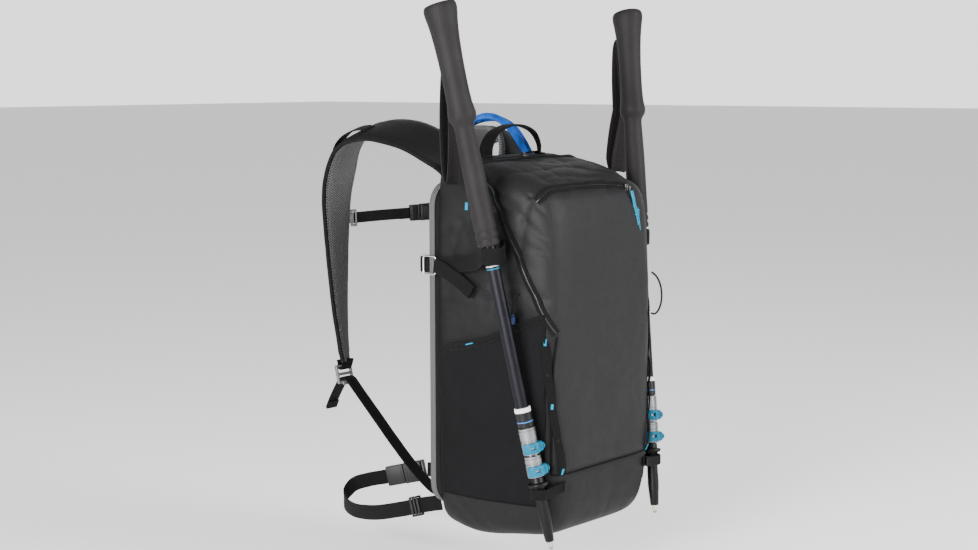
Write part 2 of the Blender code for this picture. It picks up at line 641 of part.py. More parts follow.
def make_pole_loop(side, mats):
    pole = pole_axis_point(LEFT, 0.0710)
    wrap = 0.0106
    root_x = -0.0880
    knots = [Vector((root_x, front_y(root_x, pole.z) - 0.0024, pole.z + 0.004))]
    knots.append(Vector((-0.0990, front_y(-0.0990, pole.z) - 0.0036, pole.z + 0.002)))
    for degrees in (-25, 20, 65, 110, 155, 200, 245, 285):
        angle = math.radians(degrees)
        knots.append(Vector((pole.x + wrap * math.cos(angle), pole.y + wrap * math.sin(angle), pole.z)))
    knots.append(Vector((-0.1010, front_y(-0.0990, pole.z) - 0.0085, pole.z + 0.002)))
    knots.append(Vector((root_x - 0.001, front_y(root_x, pole.z) - 0.0052, pole.z + 0.004)))
    path = mirrored(smooth_path(knots, 2), side)
    ribbon("pole_loop_" + SIDE_NAMES[side], path, (0, 0, 1), 0.012, 0.0014, mats["webbing"])


# Front edge strips, from the top down: x and z on the bag's front
EDGE_STRIP = ((-0.0985, 0.136), (-0.0975, 0.095), (-0.0955, 0.057), (-0.0915, 0.018), (-0.0865, -0.022))


def make_daisy_chain(side, mats):
    path, across = [], []
    for x, z in smooth_path(EDGE_STRIP, 2):
        near, far = Vector((x - 0.003, front_y(x - 0.003, z), z)), Vector((x + 0.003, front_y(x + 0.003, z), z))
        slope = (far - near).normalized()
        out = slope.cross(Vector((0, 0, 1))).normalized()
        path.append((near + far) / 2 + (out if out.y < 0 else -out) * 0.0030)
        across.append(slope)
    path, across = mirrored(path, side), mirrored(across, side)
    ribbon("daisy_chain_" + SIDE_NAMES[side], path, across, 0.010, 0.0012, mats["webbing"])


CORD_LOOP = (
    (0.1035, -0.1905, 0.2060), (0.1080, -0.1960, 0.1990), (0.1125, -0.1990, 0.1860), (0.1135, -0.1995, 0.1700),
    (0.1095, -0.1985, 0.1580), (0.1040, -0.1960, 0.1520), (0.0985, -0.1940, 0.1530),
)


def cord(name, route, radius, mat, resolution=2):
    curve = bpy.data.curves.new(name, "CURVE")
    curve.dimensions = "3D"
    curve.bevel_depth = radius
    curve.bevel_resolution = resolution
    curve.use_fill_caps = True
    line = curve.splines.new("POLY")
    line.points.add(len(route) - 1)
    for point, place in zip(line.points, route):
        point.co = (*place, 1)
    return link(bpy.data.objects.new(name, curve), mat)


# ---------------------------------------------------------------- zip sliders

FRONT_ZIP_X, FRONT_ZIP_Z = 0.080, 0.3080


def make_zip_sliders(mats):
    x, z = FRONT_ZIP_X, FRONT_ZIP_Z
    y = front_y(0.0, z) - 0.0020
    box("front_zip_slider", (x - 0.0035, y - 0.0040, z - 0.006), (x + 0.0035, y, z + 0.006), mats["dark"], 0.001)
    knots = [(x, y - 0.0062, z - 0.003)]
    knots += [(x + a, front_y(x, z - b) - 0.0075, z - b) for a, b in ((0.001, 0.014), (0.003, 0.028), (0.005, 0.046))]
    widths = [0.0050] * 6 + [0.0085] * 2 + [0.0075] * 2
    ribbon("front_zip_pull", smooth_path(knots, 3), (1, 0, 0), widths, 0.0030, mats["blue"])
    low, high = (-0.0040, ZIP_TOP_Y - 0.0045, PACK_TOP + 0.0004), (0.0040, ZIP_TOP_Y + 0.0045, PACK_TOP + 0.0044)
    box("main_zip_slider", low, high, mats["dark"], 0.001)


# ---------------------------------------------------------------- poles


def pole_frame(side):
    """An empty at the pole's tip: Z runs up the pole and X points to the front of the pack."""
    up = Vector((POLE_LEAN.x * -side, POLE_LEAN.y, POLE_LEAN.z)).normalized()
    forward = (Vector((0, -1, 0)) - up * -up.y).normalized()
    frame = bpy.data.objects.new("pole_frame_" + SIDE_NAMES[side], None)
    bpy.context.scene.collection.objects.link(frame)
    place = Vector((POLE_TIP.x * -side, POLE_TIP.y, POLE_TIP.z))
    frame.matrix_world = Matrix.Translation(place) @ Matrix((forward, up.cross(forward), up)).transposed().to_4x4()
    return frame


def tube_profile(radius, low, high):
    return [(radius - TUBE_WALL, low), (radius, low), (radius, high), (radius - TUBE_WALL, high)]


def make_clamp(label, span, bore, frame, mats):
    """A sleeve round the tube and its cam lever, which hugs the sleeve when locked."""
    base, top = span
    wall = [(bore, base), (COLLAR_RADIUS - 0.001, base), (COLLAR_RADIUS, base + 0.001)]
    wall += [(COLLAR_RADIUS, top - 0.001), (COLLAR_RADIUS - 0.001, top), (bore, top)]
    turned("clamp_" + label, wall, mats["silver"], frame)
    inner = COLLAR_RADIUS + GAP
    outer = inner + LEVER_THICK
    low = base + 0.002
    high = low + LEVER_HEIGHT
    steps = 8
    points = []
    for i in range(steps + 1):
        angle = LEVER_START - LEVER_SPAN * i / steps
        reach = outer + 0.0022 * math.exp(-((i / 1.2) ** 2))
        for radius, z in ((inner, low), (reach, low), (reach, high), (inner, high)):
            points.append((radius * math.cos(angle), radius * math.sin(angle), z))
    faces = [(0, 1, 2, 3), tuple(4 * steps + k for k in range(4))]
    for a in range(0, 4 * steps, 4):
        faces += [(a + k, a + (k + 1) % 4, a + 4 + (k + 1) % 4, a + 4 + k) for k in range(4)]
    mesh_object("lever_" + label, points, faces, mats["blue"], frame)


GRIP_PROFILE = (
    (UPPER_RADIUS + 0.0006, 0.379), (0.0122, 0.379), (0.0135, 0.382), (0.0126, 0.387), (0.0136, 0.391), (0.0127, 0.396),
    (0.0134, 0.401), (0.0132, 0.430), (0.0131, 0.470), (0.0122, 0.508), (0.0120, 0.520), (0.0163, 0.535),
    (0.0158, 0.548), (0.0150, 0.575), (0.0152, 0.608), (0.0170, 0.638), (0.0197, 0.659), (0.0200, 0.665),
    (0.0172, 0.671), (0.0, POLE_LENGTH),
)


def make_grip(name, frame, mats):
    bore, bore_top = GRIP_PROFILE[0][0], SHAFT_TOP + 0.002
    turned("grip_" + name, [(0, bore_top), (bore, bore_top)] + list(GRIP_PROFILE), mats["grip"], frame)


HANG_DIRECTIONS = {LEFT: (0.77, 0.63, 0.0), RIGHT: (0.25, 0.97, 0.0)}


def make_wrist_strap(side, mats):
    """A webbing loop that hangs plumb behind the grip's head, towards the pack."""
    inward = Vector(HANG_DIRECTIONS[side])
    top = pole_axis_point(side, 0.628) + inward * 0.0240
    drops = ((0.0000, 0.0010, 0.006), (0.0035, 0.0040, -0.012), (0.0045, 0.0080, -0.060))
    drops += ((0.0045, 0.0090, -0.110), (0.0020, 0.0060, -0.155))
    outer = [top + inward * a + Vector((0, b, c)) for a, b, c in drops]
    inner = [top + inward * a + Vector((0, -b * 0.5, c - 0.002)) for a, b, c in drops[1:]]
    path = smooth_path(outer + [top + Vector((0, 0.0010, -0.172))] + inner[::-1] + outer[:1], 2)[:-1]
    ribbon("wrist_strap_" + SIDE_NAMES[side], path, (1, 0, 0), 0.018, 0.0016, mats["webbing"], loop=True)


def make_pole(side, mats):
    name = SIDE_NAMES[side]
    frame = pole_frame(side)
    socket = LOWER_RADIUS + 0.0003
    profile = [(0, 0), (0.0022, 0.0005), (0.0034, 0.010), (0.0052, 0.0105), (0.0072, 0.036), (0.0068, 0.078)]
    profile += [(0.0122, 0.0815), (0.0122, 0.0840), (0.0078, 0.0855), (0.0078, SOCKET_TOP)]
    profile += [(socket, SOCKET_TOP), (socket, SOCKET_FLOOR), (0, SOCKET_FLOOR)]
    turned("pole_tip_" + name, profile, mats["dark"], frame)
    turned("lower_shaft_" + name, tube_profile(LOWER_RADIUS, SOCKET_FLOOR + GAP, 0.440), mats["shaft"], frame)
    turned("middle_shaft_" + name, tube_profile(MIDDLE_RADIUS, LOWER_CLAMP[0] + GAP, 0.500), mats["silver"], frame)
    inside, collar, low = UPPER_RADIUS - TUBE_WALL, UPPER_RADIUS + 0.0018, UPPER_CLAMP[0] + GAP
    profile = [(inside, low), (UPPER_RADIUS, low), (UPPER_RADIUS, UPPER_CLAMP[1] + GAP), (collar, UPPER_CLAMP[1] + GAP)]
    profile += [(collar, COLLAR_TOP), (UPPER_RADIUS, COLLAR_TOP), (UPPER_RADIUS, SHAFT_TOP), (inside, SHAFT_TOP)]
    turned("upper_shaft_" + name, profile, mats["shaft"], frame)
    make_clamp("lower_" + name, LOWER_CLAMP, MIDDLE_RADIUS + GAP, frame, mats)
    make_clamp("upper_" + name, UPPER_CLAMP, UPPER_RADIUS + GAP, frame, mats)
    make_grip(name, frame, mats)
    make_wrist_strap(side, mats)


def main():
    clear_scene()
    mats = make_materials()
    make_bag(mats)
    make_back(mats)
    make_hydration(mats)
    make_haul_loop(mats)
    make_sternum_strap(mats)
    make_hip_belt(mats)
    make_zip_sliders(mats)
    cord("cord_loop_right", smooth_path(CORD_LOOP, 2), 0.0013, mats["webbing"])
    for side in (LEFT, RIGHT):
        make_shoulder_strap(side, mats)
        make_compression(side, mats)
        make_pocket(side, mats)
        make_pole_loop(side, mats)
        make_daisy_chain(side, mats)
        make_pole(side, mats)


main()
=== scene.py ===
"""The looks of the daypack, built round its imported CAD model.

Metres, in the CAD's frame: +Z is up, +Y points to the wearer's back and -Y is the pack's outer face.
"""

import math

import bmesh
import bpy
import numpy as np
from mathutils import Matrix, Vector, noise
from mathutils.bvhtree import BVHTree
from mathutils.kdtree import KDTree


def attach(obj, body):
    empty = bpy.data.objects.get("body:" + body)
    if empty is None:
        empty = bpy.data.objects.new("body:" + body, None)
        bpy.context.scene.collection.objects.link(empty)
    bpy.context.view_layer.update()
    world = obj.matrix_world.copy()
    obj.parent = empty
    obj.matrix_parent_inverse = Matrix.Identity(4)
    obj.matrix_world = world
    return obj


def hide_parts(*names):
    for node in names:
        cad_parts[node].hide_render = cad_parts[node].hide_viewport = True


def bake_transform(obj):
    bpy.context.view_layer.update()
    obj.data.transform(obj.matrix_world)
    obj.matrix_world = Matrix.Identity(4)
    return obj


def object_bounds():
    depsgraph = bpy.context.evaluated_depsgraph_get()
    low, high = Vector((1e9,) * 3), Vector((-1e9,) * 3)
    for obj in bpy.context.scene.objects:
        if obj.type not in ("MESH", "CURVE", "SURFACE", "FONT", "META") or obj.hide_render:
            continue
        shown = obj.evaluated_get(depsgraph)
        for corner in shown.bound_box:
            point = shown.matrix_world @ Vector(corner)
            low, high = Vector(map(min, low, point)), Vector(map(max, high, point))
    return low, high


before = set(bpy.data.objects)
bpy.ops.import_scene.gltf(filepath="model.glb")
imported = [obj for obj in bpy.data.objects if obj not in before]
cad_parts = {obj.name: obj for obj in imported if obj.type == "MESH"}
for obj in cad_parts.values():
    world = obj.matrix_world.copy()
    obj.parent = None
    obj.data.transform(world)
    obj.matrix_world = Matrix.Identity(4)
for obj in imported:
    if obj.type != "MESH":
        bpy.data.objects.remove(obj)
CAD_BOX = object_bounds()

LEFT, RIGHT = -1, 1
SIDE_NAMES = {LEFT: "left", RIGHT: "right"}
UP = Vector((0, 0, 1))
IMAGE_LEFT = Vector((-0.634, 0.773, 0.0))  # the camera's left, level with the floor

# The bag's block, as in the CAD
PACK_BOTTOM, PACK_TOP = -0.109, 0.358
BACK_Y, FRONT_Y = -0.020, -0.196
HALF_WIDTH = 0.126
CORNER_POWER, RIM_POWER = 8.0, 18.0
WIDEST_AT, DEPTH_TAPER = 0.30, 0.32
TOP_TAPER, BOTTOM_TAPER = 0.06, 0.08
TOP_SETBACK, BOTTOM_SETBACK = 0.012, 0.014
TOP_SLOPE, BACK_FLATTEN = 0.038, 1.3
ZIP_SIDE = (
    (-0.190, 0.147), (-0.169, 0.190), (-0.146, 0.237), (-0.124, 0.284), (-0.104, 0.322), (-0.068, 0.348),
)
ZIP_TOP_Y = -0.062
HINGE_Z = ZIP_SIDE[0][1]
SEAM_LOW_Z = -0.026  # the front panel's lower seam
BOTTOM_SAG = 0.010
FOLD_REACH = 0.012  # reach on each side of the flap's fold, passed with the front panel, which nothing here bends

# The poles, as in the CAD
POLE_TIP = Vector((-0.1125, -0.1930, -0.1143))
POLE_LEAN = Vector((-0.1229, 0.1632, 1.0))
UPPER_RADIUS, MIDDLE_RADIUS, LOWER_RADIUS = 0.0082, 0.0070, 0.0058
COLLAR_RADIUS = 0.0107
LOWER_CLAMP, UPPER_CLAMP = (0.0920, 0.1195), (0.1203, 0.1545)
COLLAR_TOP = 0.1790
LEVER_START, LEVER_SPAN = math.radians(39), math.radians(160)
LEVER_HEIGHT = 0.013


# ---------------------------------------------------------------- camera, light and floor


# The camera, as it was fitted to the photo
CAMERA_LENS = 63.24
CAMERA_PLACE = (-1.7363, -1.4272, 0.4583)
CAMERA_BACK, CAMERA_RIGHT = (-0.7681, -0.6299, 0.1152), (0.6341, -0.7733, 0.0)
CAMERA_ROLL = math.radians(-0.13)


def make_camera():
    camera = bpy.data.objects.new("camera", bpy.data.cameras.new("camera"))
    bpy.context.scene.collection.objects.link(camera)
    camera.data.lens = CAMERA_LENS
    camera.data.sensor_width = 36
    back, right = Vector(CAMERA_BACK).normalized(), Vector(CAMERA_RIGHT).normalized()
    turn = Matrix((right, back.cross(right), back)).transposed().to_4x4()
    roll = Matrix.Rotation(CAMERA_ROLL, 4, "Z")
    camera.matrix_world = Matrix.Translation(CAMERA_PLACE) @ turn @ roll
    bpy.context.scene.camera = camera


def area_light(name, place, target, size, power):
    light = bpy.data.lights.new(name, "AREA")
    light.size = size
    light.energy = power
    made = bpy.data.objects.new(name, light)
    bpy.context.scene.collection.objects.link(made)
    made.location = place
    made.rotation_euler = (Vector(place) - Vector(target)).to_track_quat("Z", "Y").to_euler()


RANGE_SOCKETS = ("From Min", "From Max", "To Min", "To Max")
ACROSS_LIGHT = (0.45, 0.92, 1.9, 0.80)  # the world's strength, out to the camera's left and right
UPWARD_LIGHT = (0.10, 0.60, 1.0, 0.18)  # its share from the horizon up to the ceiling
LIGHT_TARGET = (0, -0.05, 0.15)
LIGHT_SIZE = 1.2
LIGHTS = (
    ("key_light", (0.9, -2.6, 1.25), 120),
    ("side_light", (-2.6, -0.5, 0.7), 165),
    ("top_light", (-0.9, -0.6, 2.4), 5),
)


def shade_sides(tree):
    """Light from all round, with less of it from the camera's left and right and from above.

    Round parts show their form by it, as they do in the photo.
    """
    place = tree.nodes.new("ShaderNodeTexCoord")
    across = tree.nodes.new("ShaderNodeVectorMath")
    across.operation = "DOT_PRODUCT"
    across.inputs[1].default_value = IMAGE_LEFT
    size = tree.nodes.new("ShaderNodeMath")
    size.operation = "ABSOLUTE"
    level = tree.nodes.new("ShaderNodeMapRange")
    level.interpolation_type = "SMOOTHSTEP"
    for socket, value in zip(RANGE_SOCKETS, ACROSS_LIGHT):
        level.inputs[socket].default_value = value
    tree.links.new(place.outputs["Generated"], across.inputs[0])
    tree.links.new(across.outputs["Value"], size.inputs[0])
    tree.links.new(size.outputs[0], level.inputs["Value"])
    parts = tree.nodes.new("ShaderNodeSeparateXYZ")
    ceiling = tree.nodes.new("ShaderNodeMapRange")
    ceiling.interpolation_type = "SMOOTHSTEP"
    for socket, value in zip(RANGE_SOCKETS, UPWARD_LIGHT):
        ceiling.inputs[socket].default_value = value
    both = tree.nodes.new("ShaderNodeMath")
    both.operation = "MULTIPLY"
    tree.links.new(place.outputs["Generated"], parts.inputs[0])
    tree.links.new(parts.outputs["Z"], ceiling.inputs["Value"])
    tree.links.new(level.outputs[0], both.inputs[0])
    tree.links.new(ceiling.outputs[0], both.inputs[1])
    tree.links.new(both.outputs[0], tree.nodes["Background"].inputs["Strength"])


def make_stage():
    world = bpy.data.worlds.new("studio")
    bpy.context.scene.world = world
    world.use_nodes = True
    world.node_tree.nodes["Background"].inputs["Color"].default_value = (1, 1, 1, 1)
    shade_sides(world.node_tree)
    for name, place, power in LIGHTS:
        area_light(name, place, LIGHT_TARGET, LIGHT_SIZE, power)
    shape = bmesh.new()
    bmesh.ops.create_grid(shape, x_segments=1, y_segments=1, size=30)
    mesh = bpy.data.meshes.new("floor")
    shape.to_mesh(mesh)
    shape.free()
    floor = bpy.data.objects.new("floor", mesh)
    floor.location = (0, 0, CAD_BOX[0].z - 0.05)
    bpy.context.scene.collection.objects.link(floor)
    paint = Paint("studio_floor", (0.93, 0.93, 0.93), 0.9, Emission_Strength=0.45)
    paint.set("Emission Color", (1, 1, 1, 1))
    mesh.materials.append(paint.made)


# ---------------------------------------------------------------- materials


class Paint:
    """A Principled material, with short ways to add nodes. Heights for bump() are in metres."""

    def __init__(self, name, colour, roughness=0.6, **sockets):
        self.made = bpy.data.materials.new(name)
        self.made.use_nodes = True
        self.tree = self.made.node_tree
        self.shader = self.tree.nodes["Principled BSDF"]
        self.made.diffuse_color = (*colour, 1)
        self.set("Base Color", (*colour, 1))
        self.set("Roughness", roughness)
        for socket, value in sockets.items():
            self.set(socket.replace("_", " "), value)

    def set(self, socket, value):
        target = self.shader.inputs[socket]
        if hasattr(value, "is_output"):
            self.tree.links.new(value, target)
        else:
            target.default_value = value

    def node(self, kind, inputs=(), **settings):
        made = self.tree.nodes.new("ShaderNode" + kind)
        for name, value in settings.items():
            setattr(made, name, value)
        for name, value in dict(inputs).items():
            if hasattr(value, "is_output"):
                self.tree.links.new(value, made.inputs[name])
            else:
                made.inputs[name].default_value = value
        return made

    def math(self, operation, first, second=0.0, third=0.0):
        inputs = {0: first, 1: second, 2: third}
        return self.node("Math", inputs, operation=operation).outputs[0]

    def axes(self, source):
        """The three parts of Object, Normal or UV coordinates."""
        out = self.node("TexCoord").outputs[source]
        return self.node("SeparateXYZ", {0: out}).outputs

    def noise(self, scale, detail=2.0, stretch=(1, 1, 1), source="Object", roughness=0.5):
        """Noise from 0 to 1 with scale bumps to the metre."""
        out = self.node("TexCoord").outputs[source]
        scales = [scale * s for s in stretch]
        spread = self.node("VectorMath", {0: out, 1: scales}, operation="MULTIPLY").outputs[0]
        inputs = {"Vector": spread, "Scale": 1.0, "Detail": detail, "Roughness": roughness}
        return self.node("TexNoise", inputs).outputs["Fac"]

    def ramp(self, value, low, high, start=0.0, end=1.0):
        inputs = {"Value": value, "From Min": start, "From Max": end, "To Min": low, "To Max": high}
        return self.node("MapRange", inputs).outputs[0]

    def ripple(self, value, pitch, sharp=1.0):
        """Ridges from 0 to 1 along a coordinate, one each pitch. Higher sharp makes them narrower."""
        wave = self.math("COSINE", self.math("MULTIPLY", value, 2 * math.pi / pitch))
        level = self.math("MULTIPLY_ADD", wave, 0.5, 0.5)
        return level if sharp == 1.0 else self.math("POWER", level, sharp)

    def mix(self, factor, first, second):
        made = self.node("Mix", {"Factor": factor}, data_type="RGBA")
        for socket, value in (("A", first), ("B", second)):
            target = next(s for s in made.inputs if s.name == socket and s.type == "RGBA")
            if hasattr(value, "is_output"):
                self.tree.links.new(value, target)
            else:
                target.default_value = (*value, 1)
        return next(s for s in made.outputs if s.type == "RGBA")

    def bump(self, height):
        inputs = {"Height": height, "Strength": 1.0, "Distance": 1.0}
        self.set("Normal", self.node("Bump", inputs).outputs["Normal"])


def shades(colour, low, high):
    return tuple(c * low for c in colour), tuple(c * high for c in colour)


def fabric_paint(name, colour, grid=0.0046, rough=0.60):
    """Ripstop nylon: fine threads, a thicker thread each few millimetres, streaky dye and soft wear."""
    paint = Paint(name, colour, rough, Specular_IOR_Level=0.13, Sheen_Weight=0.008, Sheen_Roughness=0.45)
    place, normal = paint.axes("Object"), paint.axes("Normal")
    ridges = None
    for axis in range(3):
        facing = paint.math("MULTIPLY", normal[axis], normal[axis])
        across = paint.ramp(facing, 1.0, 0.0, 0.15, 0.55)
        ridge = paint.math("MULTIPLY", paint.ripple(place[axis], grid, 22.0), across)
        ridges = ridge if ridges is None else paint.math("MAXIMUM", ridges, ridge)
    weave = paint.noise(1500, 1.0)
    streaks = paint.noise(1.0, 2.0, (170, 170, 1900))
    cloudy = paint.noise(14, 3.0)
    dark, light = shades(colour, 0.78, 1.24)
    tone = paint.mix(paint.ramp(streaks, 0.0, 1.0, 0.3, 0.7), dark, light)
    tone = paint.mix(paint.ramp(cloudy, 0.0, 0.35, 0.35, 0.75), tone, shades(colour, 1.0, 1.32)[1])
    tone = paint.mix(paint.math("MULTIPLY", ridges, 0.30), tone, shades(colour, 1.0, 1.6)[1])
    paint.set("Base Color", tone)
    paint.set("Roughness", paint.ramp(paint.noise(60, 3.0), rough - 0.10, rough + 0.08))
    fine = paint.math("MULTIPLY", weave, 0.00009)
    paint.bump(paint.math("MULTIPLY_ADD", ridges, 0.00006, fine))
    return paint.made


def stretch_paint(name, colour):
    """A close stretch weave with a fine diagonal rib."""
    paint = Paint(name, colour, 0.78, Specular_IOR_Level=0.07, Sheen_Weight=0.012, Sheen_Roughness=0.5)
    x, y, z = paint.axes("Object")
    ribs = paint.ripple(paint.math("ADD", paint.math("ADD", y, z), x), 0.0013)
    dark, light = shades(colour, 0.75, 1.3)
    tone = paint.mix(paint.math("MULTIPLY", ribs, paint.noise(90, 3.0)), dark, light)
    tone = paint.mix(paint.ramp(paint.noise(11, 3.0), 0.0, 0.4, 0.35, 0.7), tone, light)
    paint.set("Base Color", tone)
    grain = paint.math("MULTIPLY", paint.noise(1200, 1.0), 0.00006)
    paint.bump(paint.math("MULTIPLY_ADD", ribs, 0.00008, grain))
    return paint.made


def mesh_paint(name, colour, pitch=0.0032, source="UV", axes=(0, 1)):
    """Air mesh: a raised diamond net over darker foam."""
    paint = Paint(name, colour, 0.85, Specular_IOR_Level=0.1, Sheen_Weight=0.02)
    place = paint.axes(source)
    a, b = place[axes[0]], place[axes[1]]
    one = paint.ripple(paint.math("MULTIPLY_ADD", b, 1.7, a), pitch)
    two = paint.ripple(paint.math("MULTIPLY_ADD", b, -1.7, a), pitch)
    hole = paint.math("MULTIPLY", one, two)
    net = paint.ramp(hole, 1.0, 0.0, 0.16, 0.60)
    dark, light = shades(colour, 0.16, 1.25)
    tone = paint.mix(net, dark, light)
    tone = paint.mix(paint.ramp(paint.noise(45, 3.0), 0.0, 0.25), tone, shades(colour, 0.7, 1.0)[0])
    paint.set("Base Color", tone)
    threads = paint.math("MULTIPLY", paint.noise(1700, 1.0), 0.00008)
    paint.bump(paint.math("MULTIPLY_ADD", net, 0.00035, threads))
    return paint.made


def webbing_paint(name, colour, pitch=0.0011, half_width=0.010):
    """Woven webbing: ribs across it and a tighter selvedge on each edge."""
    paint = Paint(name, colour, 0.66, Specular_IOR_Level=0.07, Sheen_Weight=0.012, Sheen_Roughness=0.4)
    u, v, _ = paint.axes("UV")
    warp = paint.ripple(u, pitch * 0.8)
    ribs = paint.math("MULTIPLY", paint.ripple(v, pitch), paint.ramp(warp, 0.55, 1.0))
    edge = paint.ramp(paint.math("ABSOLUTE", u), 0.0, 1.0, half_width - 0.0022, half_width - 0.0008)
    dark, light = shades(colour, 0.55, 1.55)
    tone = paint.mix(ribs, dark, light)
    tone = paint.mix(paint.math("MULTIPLY", edge, 0.5), tone, shades(colour, 1.0, 2.0)[1])
    tone = paint.mix(paint.ramp(paint.noise(70, 3.0), 0.0, 0.45, 0.3, 0.8), tone, colour)
    paint.set("Base Color", tone)
    fuzz = paint.math("MULTIPLY", paint.noise(2200, 1.0), 0.00005)
    paint.bump(paint.math("MULTIPLY_ADD", ribs, 0.00022, fuzz))
    return paint.made


def moulded_paint(name, colour, rough=0.38, grain=900, **sockets):
    """Moulded plastic with a spark-eroded grain, a little scuffing and uneven gloss."""
    paint = Paint(name, colour, rough, **sockets)
    scuffs = paint.noise(1.0, 4.0, (90, 30, 60))
    dark, light = shades(colour, 0.86, 1.12)
    paint.set("Base Color", paint.mix(paint.ramp(scuffs, 0.0, 1.0, 0.3, 0.7), dark, light))
    paint.set("Roughness", paint.ramp(paint.noise(120, 3.0), rough - 0.07, rough + 0.12))
    paint.bump(paint.math("MULTIPLY", paint.noise(grain, 2.0), 0.00006))
    return paint.made


def cord_paint(name, colour, pitch=0.0016):
    """Braided cord: strands that cross at a slant."""
    paint = Paint(name, colour, 0.6, Sheen_Weight=0.02, Sheen_Roughness=0.5, Specular_IOR_Level=0.15)
    x, y, z = paint.axes("Object")
    side = paint.math("ADD", x, y)
    one = paint.ripple(paint.math("ADD", z, side), pitch)
    two = paint.ripple(paint.math("SUBTRACT", z, side), pitch)
    braid = paint.math("MAXIMUM", one, two)
    dark, light = shades(colour, 0.6, 1.25)
    paint.set("Base Color", paint.mix(braid, dark, light))
    paint.bump(paint.math("MULTIPLY", braid, 0.00018))
    return paint.made


def metal_paint(name, colour, rough, brushed=(20, 20, 900), **sockets):
    """Drawn or brushed metal, with fine lines and faint smudges."""
    paint = Paint(name, colour, rough, Metallic=1.0, **sockets)
    lines = paint.noise(1.0, 2.0, brushed)
    smudge = paint.noise(35, 3.0)
    dark, light = shades(colour, 0.86, 1.08)
    paint.set("Base Color", paint.mix(lines, dark, light))
    paint.set("Roughness", paint.ramp(smudge, rough - 0.06, rough + 0.12, 0.3, 0.8))
    paint.bump(paint.math("MULTIPLY", lines, 0.00001))
    return paint.made


def foam_paint(name, colour):
    """Dense foam: pores, a matt skin and lighter worn patches."""
    paint = Paint(name, colour, 0.62, Specular_IOR_Level=0.15, Sheen_Weight=0.012, Sheen_Roughness=0.6)
    pores = paint.noise(1100, 2.0)
    patches = paint.noise(26, 4.0)
    dark, light = shades(colour, 0.8, 1.3)
    tone = paint.mix(paint.ramp(patches, 0.0, 1.0, 0.3, 0.75), dark, light)
    tone = paint.mix(paint.ramp(pores, 0.35, 0.0, 0.3, 0.5), tone, shades(colour, 0.5, 1.0)[0])
    paint.set("Base Color", tone)
    paint.set("Roughness", paint.ramp(paint.noise(200, 2.0), 0.52, 0.70))
    paint.bump(paint.math("MULTIPLY", pores, 0.00016))
    return paint.made


def hose_paint():
    """A translucent blue drinking tube."""
    colour = (0.0, 0.17, 0.72)
    paint = Paint("hose_tube", colour, 0.12, Specular_IOR_Level=0.32)
    cloudy = paint.noise(1.0, 3.0, (60, 60, 18))
    tone = paint.mix(paint.ramp(cloudy, 0.0, 1.0, 0.3, 0.7), (0.0, 0.034, 0.22), (0.0, 0.085, 0.40))
    paint.set("Base Color", tone)
    paint.bump(paint.math("MULTIPLY", paint.noise(240, 2.0), 0.00003))
    return paint.made


def film_paint():
    """The reservoir's clear blue film."""
    tone = (0.30, 0.52, 0.75)
    paint = Paint("reservoir_film", tone, 0.16, Transmission_Weight=0.35, IOR=1.38, Coat_Weight=0.4)
    tone = paint.mix(paint.noise(25, 3.0), (0.22, 0.42, 0.66), (0.42, 0.64, 0.86))
    paint.set("Base Color", tone)
    paint.bump(paint.math("MULTIPLY", paint.noise(50, 3.0), 0.0006))
    return paint.made


